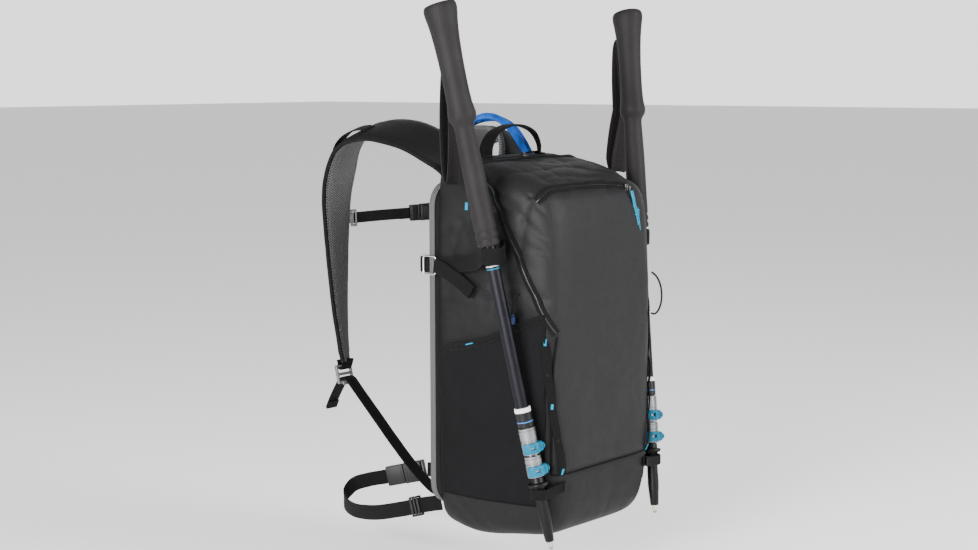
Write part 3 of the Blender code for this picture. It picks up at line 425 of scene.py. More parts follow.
def make_paints():
    return {
        "shell": fabric_paint("shell_fabric", (0.0064, 0.0064, 0.0069)),
        "front": fabric_paint("front_fabric", (0.0094, 0.0094, 0.0100), 0.0046, 0.56),
        "stretch": stretch_paint("stretch_fabric", (0.0048, 0.0048, 0.0054)),
        "strap_face": fabric_paint("strap_face_fabric", (0.0042, 0.0042, 0.0045), 0.0046, 0.62),
        "mesh": mesh_paint("strap_mesh", (0.078, 0.078, 0.080), 0.0056),
        "pad_mesh": mesh_paint("pad_mesh", (0.070, 0.070, 0.072), 0.0056, "Object", (0, 2)),
        "edge_mesh": mesh_paint("edge_mesh", (0.026, 0.026, 0.027), 0.0040, "Object", (0, 2)),
        "webbing": webbing_paint("black_webbing", (0.0040, 0.0040, 0.0043)),
        "narrow": webbing_paint("narrow_webbing", (0.0040, 0.0040, 0.0043), 0.0011, 0.0075),
        "wrist": webbing_paint("wrist_webbing", (0.0100, 0.0088, 0.0092), 0.0026, 0.009),
        "binding": webbing_paint("binding_tape", (0.0042, 0.0042, 0.0045), 0.0009, 0.004),
        "welt": webbing_paint("zip_welt", (0.0050, 0.0050, 0.0054), 0.0007, 0.0025),
        "coil": moulded_paint("zip_coil", (0.010, 0.010, 0.011), 0.32, 600),
        "thread": cord_paint("dark_thread", (0.0030, 0.0030, 0.0032), 0.0008),
        "grey_thread": cord_paint("grey_thread", (0.16, 0.16, 0.165), 0.0008),
        "cyan_thread": cord_paint("cyan_thread", (0.0, 0.17, 0.28), 0.0009),
        "cyan_cord": cord_paint("cyan_cord", (0.0, 0.17, 0.28)),
        "black_cord": cord_paint("black_cord", (0.005, 0.005, 0.0053)),
        "plastic": moulded_paint("grey_plastic", (0.095, 0.095, 0.098)),
        "mid_plastic": moulded_paint(
            "mid_grey_plastic", (0.009, 0.009, 0.0096), 0.42, Specular_IOR_Level=0.25
        ),
        "black_plastic": moulded_paint(
            "black_plastic", (0.0045, 0.0045, 0.0048), 0.42, Specular_IOR_Level=0.3
        ),
        "cyan": moulded_paint("cyan_plastic", (0.0, 0.11, 0.19), 0.38, Specular_IOR_Level=0.15),
        "rubber": moulded_paint("blue_rubber", (0.0, 0.018, 0.08), 0.5, 500),
        "tip": moulded_paint("tip_plastic", (0.0030, 0.0031, 0.0036), 0.40, Specular_IOR_Level=0.16),
        "ivory": moulded_paint("ferrule_plastic", (0.44, 0.41, 0.33), 0.45),
        "white": moulded_paint("white_band", (0.62, 0.62, 0.61), 0.4),
        "ink": moulded_paint("black_band", (0.003, 0.003, 0.0032), 0.34, Specular_IOR_Level=0.25),
        "blue_ink": moulded_paint("blue_band", (0.02, 0.13, 0.42), 0.34),
        "shaft": metal_paint("anodised_tube", (0.018, 0.018, 0.021), 0.36, (600, 600, 12)),
        "silver": metal_paint("silver_tube", (0.27, 0.28, 0.29), 0.26, (500, 500, 14)),
        "steel": metal_paint("steel_wire", (0.66, 0.66, 0.66), 0.26),
        "carbide": metal_paint("carbide", (0.34, 0.33, 0.31), 0.30),
        "zip_metal": metal_paint("zip_metal", (0.07, 0.07, 0.072), 0.35),
        "grip": foam_paint("grip_foam", (0.0096, 0.0082, 0.0088)),
        "hose": hose_paint(),
        "film": film_paint(),
    }


# ---------------------------------------------------------------- shapes


def smooth_path(knots, steps):
    """Points along a Catmull-Rom curve through the knots."""
    knots = np.array([tuple(k) for k in knots], float)
    padded = np.vstack([2 * knots[0] - knots[1], knots, 2 * knots[-1] - knots[-2]])
    made = []
    for i in range(len(knots) - 1):
        a, b, c, d = padded[i : i + 4]
        for t in np.arange(steps) / steps:
            bend = (2 * a - 5 * b + 4 * c - d) * t**2 + (3 * b - a - 3 * c + d) * t**3
            made.append(Vector(0.5 * (2 * b + (c - a) * t + bend)))
    made.append(Vector(knots[-1]))
    return made


def evened(path, step):
    """The same line with points step apart."""
    path = np.array([tuple(p) for p in path], float)
    along = np.concatenate([[0], np.cumsum(np.linalg.norm(np.diff(path, axis=0), axis=1))])
    count = max(2, round(along[-1] / step) + 1)
    places = np.linspace(0, along[-1], count)
    return [Vector(p) for p in np.stack([np.interp(places, along, path[:, k]) for k in range(3)], axis=1)]


def mirrored(points, side):
    """Points given for the left side, placed on the side asked for."""
    return [Vector((p[0] * -side, p[1], p[2])) for p in points]


def piece(name, mesh, paints, body, replaces=(), bends=None):
    """Adds a mesh as a piece of the object, with its paints and its body."""
    made = bpy.data.objects.new(name, mesh)
    bpy.context.scene.collection.objects.link(made)
    for paint in paints if isinstance(paints, (list, tuple)) else [paints]:
        mesh.materials.append(paint)
    if bends:
        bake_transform(made)
    else:
        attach(made, body)
    if replaces:
        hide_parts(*replaces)
    return made


def mesh_of(name, points, faces, uvs=None, marks=None, angle=40, fix=True):
    """A mesh from points and faces. uvs holds each face's corners, and marks each face's paint."""
    mesh = bpy.data.meshes.new(name)
    mesh.from_pydata([tuple(p) for p in points], [], faces)
    if uvs is not None:
        layer = mesh.uv_layers.new(name="weave")
        layer.data.foreach_set("uv", np.array([c for face in uvs for c in face], np.float32).ravel())
    if marks is not None:
        mesh.polygons.foreach_set("material_index", marks)
    if fix:
        tidy = bmesh.new()
        tidy.from_mesh(mesh)
        bmesh.ops.recalc_face_normals(tidy, faces=tidy.faces)
        tidy.to_mesh(mesh)
        tidy.free()
    mesh.shade_smooth()
    mesh.set_sharp_from_angle(angle=math.radians(angle))
    return mesh


def swept(name, path, across, section, closed=False, angle=40):
    """A section swept along a path.

    across is the direction of the section's first axis: one for all points, or one for each of them.

    section(i) gives the section's (a, b) corners at point i, or (a, b, paint) with the next face's paint.
    """
    count = len(path)
    several = hasattr(across[0], "__len__")
    points, sections, lengths = [], [], [0.0]
    for i, point in enumerate(path):
        before = path[i - 1] if (i or closed) else point
        after = path[(i + 1) % count] if (i < count - 1 or closed) else point
        along = (Vector(after) - Vector(before)).normalized()
        wide = Vector(across[i] if several else across)
        wide = (wide - along * wide.dot(along)).normalized()
        face = along.cross(wide)
        sections.append(section(i))
        points += [Vector(point) + wide * c[0] + face * c[1] for c in sections[-1]]
        lengths.append(lengths[-1] + (Vector(path[(i + 1) % count]) - Vector(point)).length)
    size = len(sections[0])
    faces, uvs, marks = [], [], []
    for i in range(count if closed else count - 1):
        j = (i + 1) % count
        for k in range(size):
            m = (k + 1) % size
            faces.append((i * size + k, i * size + m, j * size + m, j * size + k))
            one, two = sections[i], sections[j]
            uvs.append(
                (
                    (one[k][0], lengths[i]),
                    (one[m][0], lengths[i]),
                    (two[m][0], lengths[i + 1]),
                    (two[k][0], lengths[i + 1]),
                )
            )
            marks.append(int(one[k][2]) if len(one[k]) > 2 else 0)
    if not closed:
        for end, place in ((0, lengths[0]), (count - 1, lengths[count - 1])):
            faces.append(tuple(range(end * size, (end + 1) * size)))
            uvs.append(tuple((c[0], place + c[1]) for c in sections[end]))
            marks.append(0)
    return mesh_of(name, points, faces, uvs, marks, angle)


def flat_section(width, thick, crown=0.0):
    """A strap's section: round selvedges and nearly level faces."""
    half, rise = width / 2 - thick / 2, thick / 2
    turns = [math.radians(d) for d in (-90, -50, 0, 50, 90)]
    right = [(half + rise * math.cos(t), rise * math.sin(t)) for t in turns]
    top = [(half * s, rise + crown) for s in (0.5, 0, -0.5)]
    left = [(-a, -b) for a, b in right]
    bottom = [(-a, -b) for a, b in top]
    return right + top + left + bottom


def round_section(radius, sides=12):
    turns = [2 * math.pi * k / sides for k in range(sides)]
    return [(radius * math.cos(t), radius * math.sin(t)) for t in turns]


def webbing(
    name, path, across, width, paint, body, thick=0.0016, closed=False, replaces=(), wave=0.0
):
    """A length of webbing. wave lets its width wander a little, as sewn webbing does."""
    widths = list(width) if hasattr(width, "__len__") else [width] * len(path)
    widths = [w + wave * noise.noise(Vector(p) * 60) for w, p in zip(widths, path)]
    mesh = swept(name, path, across, lambda i: flat_section(widths[i], thick, 0.00015), closed)
    return piece(name, mesh, paint, body, replaces)


def tube(name, path, radius, paint, body, replaces=(), sides=12):
    """A round cord or tube. radius may be one for each point."""
    radii = list(radius) if hasattr(radius, "__len__") else [radius] * len(path)
    start = (Vector(path[1]) - Vector(path[0])).normalized()
    side = start.orthogonal().normalized()
    sides_along = []
    for i in range(len(path)):
        after, before = Vector(path[min(i + 1, len(path) - 1)]), Vector(path[max(i - 1, 0)])
        along = (after - before).normalized()
        side = (side - along * side.dot(along)).normalized()
        sides_along.append(tuple(side))
    mesh = swept(name, path, sides_along, lambda i: round_section(radii[i], sides))
    return piece(name, mesh, paint, body, replaces)


def turned_mesh(name, profile, frame_matrix, segments=40, marks=None, shape=None):
    """A solid of revolution about Z from (radius, z) pairs. shape(angle, radius, z) may move a point."""
    rings, points = [], []
    for radius, z in profile:
        if radius <= 0:
            rings.append([len(points)] * segments)
            points.append(Vector((0, 0, z)))
            continue
        rings.append(list(range(len(points), len(points) + segments)))
        for k in range(segments):
            angle = 2 * math.pi * k / segments
            r, lift = shape(angle, radius, z) if shape else (radius, z)
            points.append(Vector((r * math.cos(angle), r * math.sin(angle), lift)))
    faces, paints = [], []
    hollow = all(radius > 0 for radius, _ in profile)
    pairs = list(zip(rings, rings[1:])) + ([(rings[-1], rings[0])] if hollow else [])
    for row, (first, second) in enumerate(pairs):
        for k in range(segments):
            corners = (first[k], first[k - 1], second[k - 1], second[k])
            faces.append(tuple(dict.fromkeys(corners)))
            paints.append(marks[row] if marks else 0)
    return mesh_of(name, [frame_matrix @ p for p in points], faces, None, paints)


def blocks(name, boxes, frame_matrix, bevel=0.0010):
    """Rounded blocks in one mesh, each a (low corner, high corner) pair in the frame given."""
    whole = bmesh.new()
    for low, high in boxes:
        low, high = Vector(low), Vector(high)
        shape = bmesh.new()
        bmesh.ops.create_cube(shape, size=1.0)
        for vert in shape.verts:
            vert.co = Vector(a * b for a, b in zip(vert.co, high - low)) + (low + high) / 2
        reach = min(bevel, 0.45 * min(high - low))
        bmesh.ops.bevel(shape, geom=shape.edges[:], offset=reach, segments=3, affect="EDGES", profile=0.5)
        part = bpy.data.meshes.new("part")
        shape.to_mesh(part)
        shape.free()
        whole.from_mesh(part)
        bpy.data.meshes.remove(part)
    mesh = bpy.data.meshes.new(name)
    whole.to_mesh(mesh)
    whole.free()
    mesh.transform(frame_matrix)
    mesh.shade_smooth()
    mesh.set_sharp_from_angle(angle=math.radians(35))
    return mesh


def axes_matrix(place, along, up=UP):
    """A frame at place: X along, Z as near up as it can be."""
    along = Vector(along).normalized()
    up = (Vector(up) - along * Vector(up).dot(along)).normalized()
    return Matrix.Translation(Vector(place)) @ Matrix((along, up.cross(along), up)).transposed().to_4x4()


def stitches(name, path, normals, paint, body, length=0.0026, gap=0.0014, radius=0.00028):
    """A row of thread stitches just proud of a surface."""
    points, faces = [], []
    line = evened(path, 0.0005)
    tree = KDTree(len(path))
    for i, p in enumerate(path):
        tree.insert(Vector(p), i)
    tree.balance()
    period, run = round((length + gap) / 0.0005), round(length / 0.0005)
    for start in range(0, len(line) - run, period):
        first, last = line[start], line[start + run]
        out = Vector(normals[tree.find(first)[1]]).normalized()
        along = (last - first).normalized()
        wide = along.cross(out).normalized()
        base = len(points)
        for t in (0.0, 0.2, 0.8, 1.0):
            middle = first.lerp(last, t) + out * (radius * (0.9 if 0 < t < 1 else -0.4))
            size = radius * (1.0 if 0 < t < 1 else 0.55)
            for a, b in ((1, 0), (0.5, 0.85), (-0.5, 0.85), (-1, 0), (-0.5, -0.85), (0.5, -0.85)):
                points.append(middle + wide * size * a + out * size * b)
        for ring in range(3):
            for k in range(6):
                a, b = base + 6 * ring + k, base + 6 * ring + (k + 1) % 6
                faces.append((a, b, b + 6, a + 6))
        faces += [tuple(range(base, base + 6)), tuple(range(base + 18, base + 24))]
    return piece(name, mesh_of(name, points, faces), paint, body)


def modified(obj, kind, **settings):
    modifier = obj.modifiers.new(kind.lower(), kind)
    for name, value in settings.items():
        setattr(modifier, name, value)
    return modifier


def baked(obj):
    """The mesh as its modifiers leave it."""
    graph = bpy.context.evaluated_depsgraph_get()
    graph.update()
    mesh = bpy.data.meshes.new_from_object(obj.evaluated_get(graph))
    obj.modifiers.clear()
    return mesh


def coordinates(mesh):
    co = np.zeros(len(mesh.vertices) * 3, np.float32)
    mesh.vertices.foreach_get("co", co)
    return co.reshape(-1, 3).astype(float)


def normals_of(mesh):
    found = np.zeros(len(mesh.vertices) * 3, np.float32)
    mesh.vertices.foreach_get("normal", found)
    return found.reshape(-1, 3).astype(float)


def settle(mesh, pressure, cap, frames=20, held=None, slack=0.0, stiffness=15.0):
    """Lets cloth with that pressure inside swell or buckle, and moves each point by at most cap.

    held gives each point's hold from 0 to 1, and slack is how much larger than its shape the cloth was cut.
    """
    cloth = bpy.data.objects.new("cloth", mesh.copy())
    scene = bpy.context.scene
    scene.collection.objects.link(cloth)
    modifier = modified(cloth, "CLOTH")
    rules = modifier.settings
    rules.quality = 5
    rules.mass = 0.25
    rules.tension_stiffness = rules.compression_stiffness = stiffness
    rules.shear_stiffness = stiffness / 3
    rules.bending_stiffness = 0.4
    rules.air_damping = 2.0
    rules.use_pressure = pressure != 0
    rules.uniform_pressure_force = pressure
    rules.shrink_min = -slack
    rules.effector_weights.gravity = 0
    modifier.collision_settings.use_collision = False
    if held is not None:
        group = cloth.vertex_groups.new(name="held")
        for i in np.nonzero(held > 0.01)[0]:
            group.add([int(i)], float(held[i]), "REPLACE")
        rules.vertex_group_mass = "held"
    modifier.point_cache.frame_start, modifier.point_cache.frame_end = 1, frames
    rest = coordinates(mesh)
    for step in range(1, frames + 1):
        scene.frame_set(step)
    moved = coordinates(baked(cloth)) - rest
    scene.frame_set(1)
    bpy.data.objects.remove(cloth)
    far = np.linalg.norm(moved, axis=1)
    moved *= (cap * np.tanh(far / cap) / np.maximum(far, 1e-9))[:, None]
    mesh.vertices.foreach_set("co", (rest + moved).astype(np.float32).ravel())
    mesh.update()


# ---------------------------------------------------------------- the bag


def bag_from_unit(u, v, w):
    """Maps points of the rounded unit block to the bag. u is across, v to the back and w up."""
    flat = np.where(v > 0, np.minimum(1.0, BACK_FLATTEN * v), v)
    forward = (1 - flat) / 2
    rise, fall = np.maximum(w, 0.0), np.maximum(-w, 0.0)
    front = FRONT_Y + TOP_SETBACK * np.maximum(0.0, (w - 0.2) / 0.8) ** 1.7
    front = front + BOTTOM_SETBACK * np.maximum(0.0, (-w - 0.6) / 0.4) ** 1.5
    x = u * HALF_WIDTH * (1 - DEPTH_TAPER * (forward - WIDEST_AT) ** 2)
    x = x * (1 - TOP_TAPER * rise**6) * (1 - BOTTOM_TAPER * fall**6)
    y = front * forward + BACK_Y * (1 - forward)
    z = (PACK_TOP + PACK_BOTTOM) / 2 + w * (PACK_TOP - PACK_BOTTOM) / 2 - TOP_SLOPE * rise**3 * forward**2
    return np.stack([x, y, z], axis=1)


def bag_points(cube):
    """The bag's surface in directions from its middle, given as points of the unit cube."""
    low, high = np.full(len(cube), 0.3), np.full(len(cube), 2.0)
    a, b, c = np.abs(cube).T
    for _ in range(40):
        r = (low + high) / 2
        outside = (a * r) ** CORNER_POWER + (b * r) ** CORNER_POWER + (c * r) ** RIM_POWER > 1
        high = np.where(outside, r, high)
        low = np.where(outside, low, r)
    return bag_from_unit(*(cube * low[:, None]).T)


def block_grid(cells):
    """A cube's surface as points from -1 to 1 and quads, with that many cells along each axis."""
    index, faces = {}, []

    def corner(*place):
        return index.setdefault(place, len(index))

    for axis in range(3):
        one, two = (axis + 1) % 3, (axis + 2) % 3
        for end in (0, cells[axis]):
            for i in range(cells[one]):
                for j in range(cells[two]):
                    quad = []
                    for a, b in ((i, j), (i + 1, j), (i + 1, j + 1), (i, j + 1)):
                        place = [0, 0, 0]
                        place[axis], place[one], place[two] = end, a, b
                        quad.append(corner(*place))
                    faces.append(tuple(quad if end else quad[::-1]))
    points = np.array(list(index), float) * 2 / np.array(cells) - 1
    return points, faces


def near_line(value, line, reach):
    return np.clip(1 - np.abs(value - line) / reach, 0, 1)


def zip_y(z):
    """The zip's depth at a height on the bag's side."""
    y, height = zip(*ZIP_SIDE)
    return np.interp(z, height, y)


def smooth_noise(points, scale, seed):
    spread = np.array(scale)
    return np.array([noise.noise(Vector(p * spread + seed)) for p in points])


def folds(points, scale, seed, sharp=2.5):
    """Soft creases: 1 along each fold and 0 between them."""
    return (1 - np.abs(smooth_noise(points, scale, seed))) ** (sharp * 3)


TENSION_CREASES = (  # the side's long folds: height at the back, slope, half width and depth
    (0.2090, 0.34, 0.0090, 0.0034), (0.1900, 0.22, 0.0070, 0.0024), (0.2700, -0.30, 0.0080, 0.0026),
)


def creased(points, normals):
    """How far each point of the bag's fabric lies in or out from its smooth shape."""
    x, y, z = points.T
    side = np.clip((np.abs(normals[:, 0]) - 0.55) / 0.3, 0, 1)
    front = np.clip((-normals[:, 1] - 0.55) / 0.3, 0, 1)
    top = np.clip((normals[:, 2] - 0.45) / 0.3, 0, 1)
    back = np.clip((y - BACK_Y + 0.016) / 0.012, 0, 1)
    slant = np.stack([x, y * 0.8 + z * 0.6, z * 0.8 - y * 0.6], axis=1)
    upper = np.clip((z - 0.14) / 0.05, 0, 1)
    depth = -0.0030 * side * upper * folds(points, (6, 34, 7), 3.1)
    depth -= 0.0026 * side * upper * folds(slant, (6, 11, 48), 9.7)
    depth -= 0.0016 * side * (1 - upper) * folds(slant, (6, 10, 30), 5.2)
    depth -= 0.0021 * top * folds(points, (9, 38, 20), 12.4)
    depth -= 0.0010 * top * folds(points, (26, 10, 20), 1.9)
    depth -= 0.0005 * front * folds(slant, (16, 8, 9), 7.3)
    depth -= 0.0003 * front * folds(points, (30, 8, 8), 2.6)
    seam = near_line(z, SEAM_LOW_Z, 0.030) * front
    depth -= 0.0007 * seam * (0.5 + 0.5 * np.sin(x * 900 + 3 * smooth_noise(points, (40, 1, 8), 4.4)))
    pucker = near_line(y, zip_y(z), 0.016) * side * upper
    depth -= 0.0009 * pucker * (0.5 + 0.5 * np.sin(z * 620 + 4 * smooth_noise(points, (30, 30, 60), 8.8)))
    fading = np.clip((y + 0.175) / 0.05, 0, 1)
    for height, slope, width, deep in TENSION_CREASES:
        bend = 0.006 * smooth_noise(points, (5, 18, 18), 21.0 + height * 90)
        away = (z - height - slope * (y + 0.03) + bend) / width
        depth -= deep * side * np.exp(-(away**2)) * fading
    depth += 0.0012 * smooth_noise(points, (16, 16, 16), 6.6)
    return depth * (1 - back)


def cutter_mesh(outline, paint):
    """A prism across the bag with that (y, z) outline."""
    count = len(outline)
    points = [(x, y, z) for x in (-0.2, 0.2) for y, z in outline]
    faces = [(i, (i + 1) % count, count + (i + 1) % count, count + i) for i in range(count)]
    faces += [tuple(range(count)), tuple(range(count, 2 * count))]
    mesh = mesh_of("cutter", points, faces)
    mesh.materials.append(paint)
    return mesh


def cut_skin(skin, cutter, operation, name):
    """The part of the skin inside or outside the cutter, as an open sheet."""
    made = bpy.data.objects.new(name, skin.copy())
    knife = bpy.data.objects.new("knife", cutter)
    for obj in (made, knife):
        bpy.context.scene.collection.objects.link(obj)
    modified(made, "BOOLEAN", operation=operation, solver="EXACT", object=knife, material_mode="TRANSFER")
    mesh = baked(made)
    inside = mesh.materials.find("knife_mark")
    shape = bmesh.new()
    shape.from_mesh(mesh)
    bmesh.ops.delete(shape, geom=[f for f in shape.faces if f.material_index == inside], context="FACES")
    bmesh.ops.remove_doubles(shape, verts=shape.verts[:], dist=0.0002)
    shape.to_mesh(mesh)
    shape.free()
    mesh.materials.clear()
    for obj in (made, knife):
        bpy.data.objects.remove(obj)
    return mesh


def rim_of(mesh):
    """The sheet's longest edge as points in order, each with the sheet's normal there."""
    shape = bmesh.new()
    shape.from_mesh(mesh)
    left = {e for e in shape.edges if e.is_boundary}
    best = []
    while left:
        edge = min(left, key=lambda e: e.index)  # the same one in each run
        left.remove(edge)
        loop = [edge.verts[0], edge.verts[1]]
        while True:
            step = next((e for e in loop[-1].link_edges if e in left), None)
            if step is None:
                break
            left.discard(step)
            loop.append(step.other_vert(loop[-1]))
        if len(loop) > len(best):
            best = loop
    rim = [(v.co.copy(), v.normal.copy()) for v in best]
    shape.free()
    return rim


def dip_edges(mesh, rim, depth=0.0014, reach=0.0050):
    """Draws the fabric in towards its seams."""
    tree = KDTree(len(rim))
    for i, (p, _) in enumerate(rim):
        tree.insert(p, i)
    tree.balance()
    for vert in mesh.vertices:
        far = tree.find(vert.co)[2]
        if far < reach:
            vert.co -= vert.normal * depth * (1 - far / reach) ** 2
    mesh.update()


def thicken(mesh, thick=0.0018):
    made = bpy.data.objects.new("sheet", mesh)
    bpy.context.scene.collection.objects.link(made)
    modified(made, "SOLIDIFY", thickness=thick, offset=-1.0)
    solid = baked(made)
    bpy.data.objects.remove(made)
    solid.shade_smooth()
    solid.set_sharp_from_angle(angle=math.radians(50))
    return solid


class Surface:
    """The bag's outside, to place things on."""

    def __init__(self, mesh):
        shape = bmesh.new()
        shape.from_mesh(mesh)
        self.tree = BVHTree.FromBMesh(shape)
        shape.free()

    def hit(self, start, direction):
        place, normal, _, _ = self.tree.ray_cast(Vector(start), Vector(direction))
        return place, normal

    def side(self, side, y, z, lift=0.0):
        place, normal = self.hit((side * 0.3, y, z), (-side, 0, 0))
        return place + normal * lift

    def front(self, x, z, lift=0.0):
        place, normal = self.hit((x, -0.4, z), (0, 1, 0))
        return place + normal * lift

    def top(self, x, y, lift=0.0):
        place, normal = self.hit((x, y, 0.6), (0, 0, -1))
        return place + normal * lift

    def near(self, point, lift=0.0):
        place, normal, _, _ = self.tree.find_nearest(Vector(point))
        return place + normal * lift

    def normal(self, point):
        return self.tree.find_nearest(Vector(point))[1]


def run_between(rim, test):
    """The longest unbroken run of a closed rim that passes the test."""
    count = len(rim)
    start = next(i for i in range(count) if not test(rim[i][0]))
    best, run = [], []
    for i in range(count + 1):
        item = rim[(start + i) % count]
        if test(item[0]):
            run.append(item)
        else:
            best = max(best, run, key=len)
            run = []
    return best


def make_bag(paints):
    cube, faces = block_grid((60, 42, 104))
    mesh = bpy.data.meshes.new("skin")
    mesh.from_pydata(bag_points(cube).tolist(), [], faces)
    mesh.update()
    rest, out = coordinates(mesh), normals_of(mesh)
    moved = rest + out * (creased(rest, out) - 0.0004)[:, None]
    low = np.clip((-0.050 - rest[:, 2]) / 0.055, 0, 1) ** 1.5
    moved[:, 2] -= BOTTOM_SAG * low * np.exp(-(((rest[:, 1] + 0.075) / 0.065) ** 2))
    mesh.vertices.foreach_set("co", moved.astype(np.float32).ravel())
    mesh.update()
    mesh.shade_smooth()
    mesh.materials.append(paints["shell"])

    mark = bpy.data.materials.new("knife_mark")
    outline = [(-0.300, SEAM_LOW_Z - 0.004), (-0.1850, SEAM_LOW_Z), (-0.1850, 0.060), (-0.1865, 0.110)]
    outline += list(ZIP_SIDE) + [(ZIP_TOP_Y, 0.460), (-0.300, 0.460)]
    body = cut_skin(mesh, cutter_mesh(outline, mark), "DIFFERENCE", "bag_body")
    front = cut_skin(mesh, cutter_mesh(outline, mark), "INTERSECT", "front_panel")
    rim = rim_of(front)
    surface = Surface(mesh)
    for sheet in (body, front):
        dip_edges(sheet, rim)
    piece("bag_body", thicken(body), paints["shell"], "pack", ("pack_shell",))
    fold = Vector((0, FRONT_Y, HINGE_Z))
    bend = ("pack", "flap", fold - UP * FOLD_REACH, fold + UP * FOLD_REACH)
    piece("front_panel", thicken(front), paints["front"], None, ("front_flap",), bend)

    zip_run = run_between(rim, lambda p: p.z > HINGE_Z + 0.001)
    seam_run = run_between(rim, lambda p: p.z < HINGE_Z - 0.002)
    return surface, ordered(zip_run), ordered(seam_run)


def ordered(run):
    """The run from the left side to the right one, evened out and smoothed."""
    if run[0][0].x > run[-1][0].x:
        run = run[::-1]
    points = np.array([tuple(p) for p, _ in run])
    normals = np.array([tuple(n) for _, n in run])
    for _ in range(6):
        points[1:-1] = (points[:-2] + 2 * points[1:-1] + points[2:]) / 4
        normals[1:-1] = (normals[:-2] + 2 * normals[1:-1] + normals[2:]) / 4
    line = evened(points, 0.0030)
    tree = KDTree(len(points))
    for i, p in enumerate(points):
        tree.insert(Vector(p), i)
    tree.balance()
    return line, [Vector(normals[tree.find(p)[1]]).normalized() for p in line]


def beside(line, normals, offset, lift):
    """The line moved sideways in the surface and out of it."""
    moved = []
    for i, p in enumerate(line):
        along = (line[min(i + 1, len(line) - 1)] - line[max(i - 1, 0)]).normalized()
        moved.append(p + along.cross(normals[i]).normalized() * offset + normals[i] * lift)
    return moved


def sideways(line, normals):
    found = []
    for i in range(len(line)):
        along = (line[min(i + 1, len(line) - 1)] - line[max(i - 1, 0)]).normalized()
        found.append(tuple(along.cross(normals[i])))
    return found


def make_main_zip(run, paints):
    """Two welts that nearly meet over the coil, one on the bag and one on the flap."""
    line, normals = run
    across = sideways(line, normals)
    for name, offset, body in (("zip_welt_bag", -0.0031, "pack"), ("zip_welt_flap", 0.0031, "flap")):
        welt = beside(line, normals, offset, 0.0006)
        mesh = swept(name, welt, across, lambda i: flat_section(0.0048, 0.0020, 0.0003))
        piece(name, mesh, paints["welt"], body)
        row = beside(line, normals, offset * 1.45, 0.0018)
        stitches(name + "_stitches", row, normals, paints["thread"], body)
    tube("zip_coil", beside(line, normals, 0.0, 0.0002), 0.0011, paints["coil"], "pack", sides=8)


def make_front_seam(run, paints):
    line, normals = run
    tube("front_seam_piping", beside(line, normals, 0.0, -0.0002), 0.0011, paints["binding"], "pack", sides=8)
    low = [i for i, p in enumerate(line) if p.z < SEAM_LOW_Z + 0.012]
    part, facing = [line[i] for i in low], [normals[i] for i in low]
    stitches("lower_seam_stitches", beside(part, facing, -0.0034, 0.0005), facing, paints["thread"], "pack")


FRONT_ZIP_CORNER = ((-0.1120, -0.1660, 0.3085), (-0.1070, -0.1735, 0.3165))
FRONT_ZIP = (
    (-0.0860, 0.3208), (-0.0600, 0.3222), (-0.0300, 0.3227), (0.0, 0.3225), (0.0300, 0.3212),
    (0.0560, 0.3188), (0.0700, 0.3165),
)


def make_front_pocket(surface, paints):
    """The small zipped pocket across the flap: a welt over its coil, between two seams."""
    knots = [surface.near(p, 0.0004) for p in FRONT_ZIP_CORNER]
    knots += [surface.front(x, z, 0.0004) for x, z in FRONT_ZIP]
    line = evened(smooth_path(knots, 6), 0.003)
    normals = [surface.normal(p) for p in line]
    across = sideways(line, normals)
    for label, offset, width in (("upper", -0.0036, 0.0052), ("lower", 0.0030, 0.0040)):
        welt = beside(line, normals, offset, 0.0005)
        name = "pocket_welt_" + label
        mesh = swept(name, welt, across, lambda i: flat_section(width, 0.0019, 0.0003))
        piece(name, mesh, paints["welt"], "flap")
    tube("pocket_zip_coil", beside(line, normals, 0.0, 0.0001), 0.0010, paints["coil"], "flap", sides=8)
    for label, offset in (("upper", -0.0078), ("lower", 0.0066)):
        row = beside(line, normals, offset, 0.0004)
        stitches("pocket_stitches_" + label, row, normals, paints["thread"], "flap")


# ---------------------------------------------------------------- side pockets, strips and loops

POCKET_HEM = (  # a pocket's mouth from the back edge to the front one, as (y, z)
    (-0.0280, 0.1185), (-0.0450, 0.1265), (-0.0830, 0.1335), (-0.1100, 0.1415), (-0.1210, 0.1465),
    (-0.1565, 0.1640), (-0.1790, 0.1715),
)
POCKET_FLOOR = -0.0660


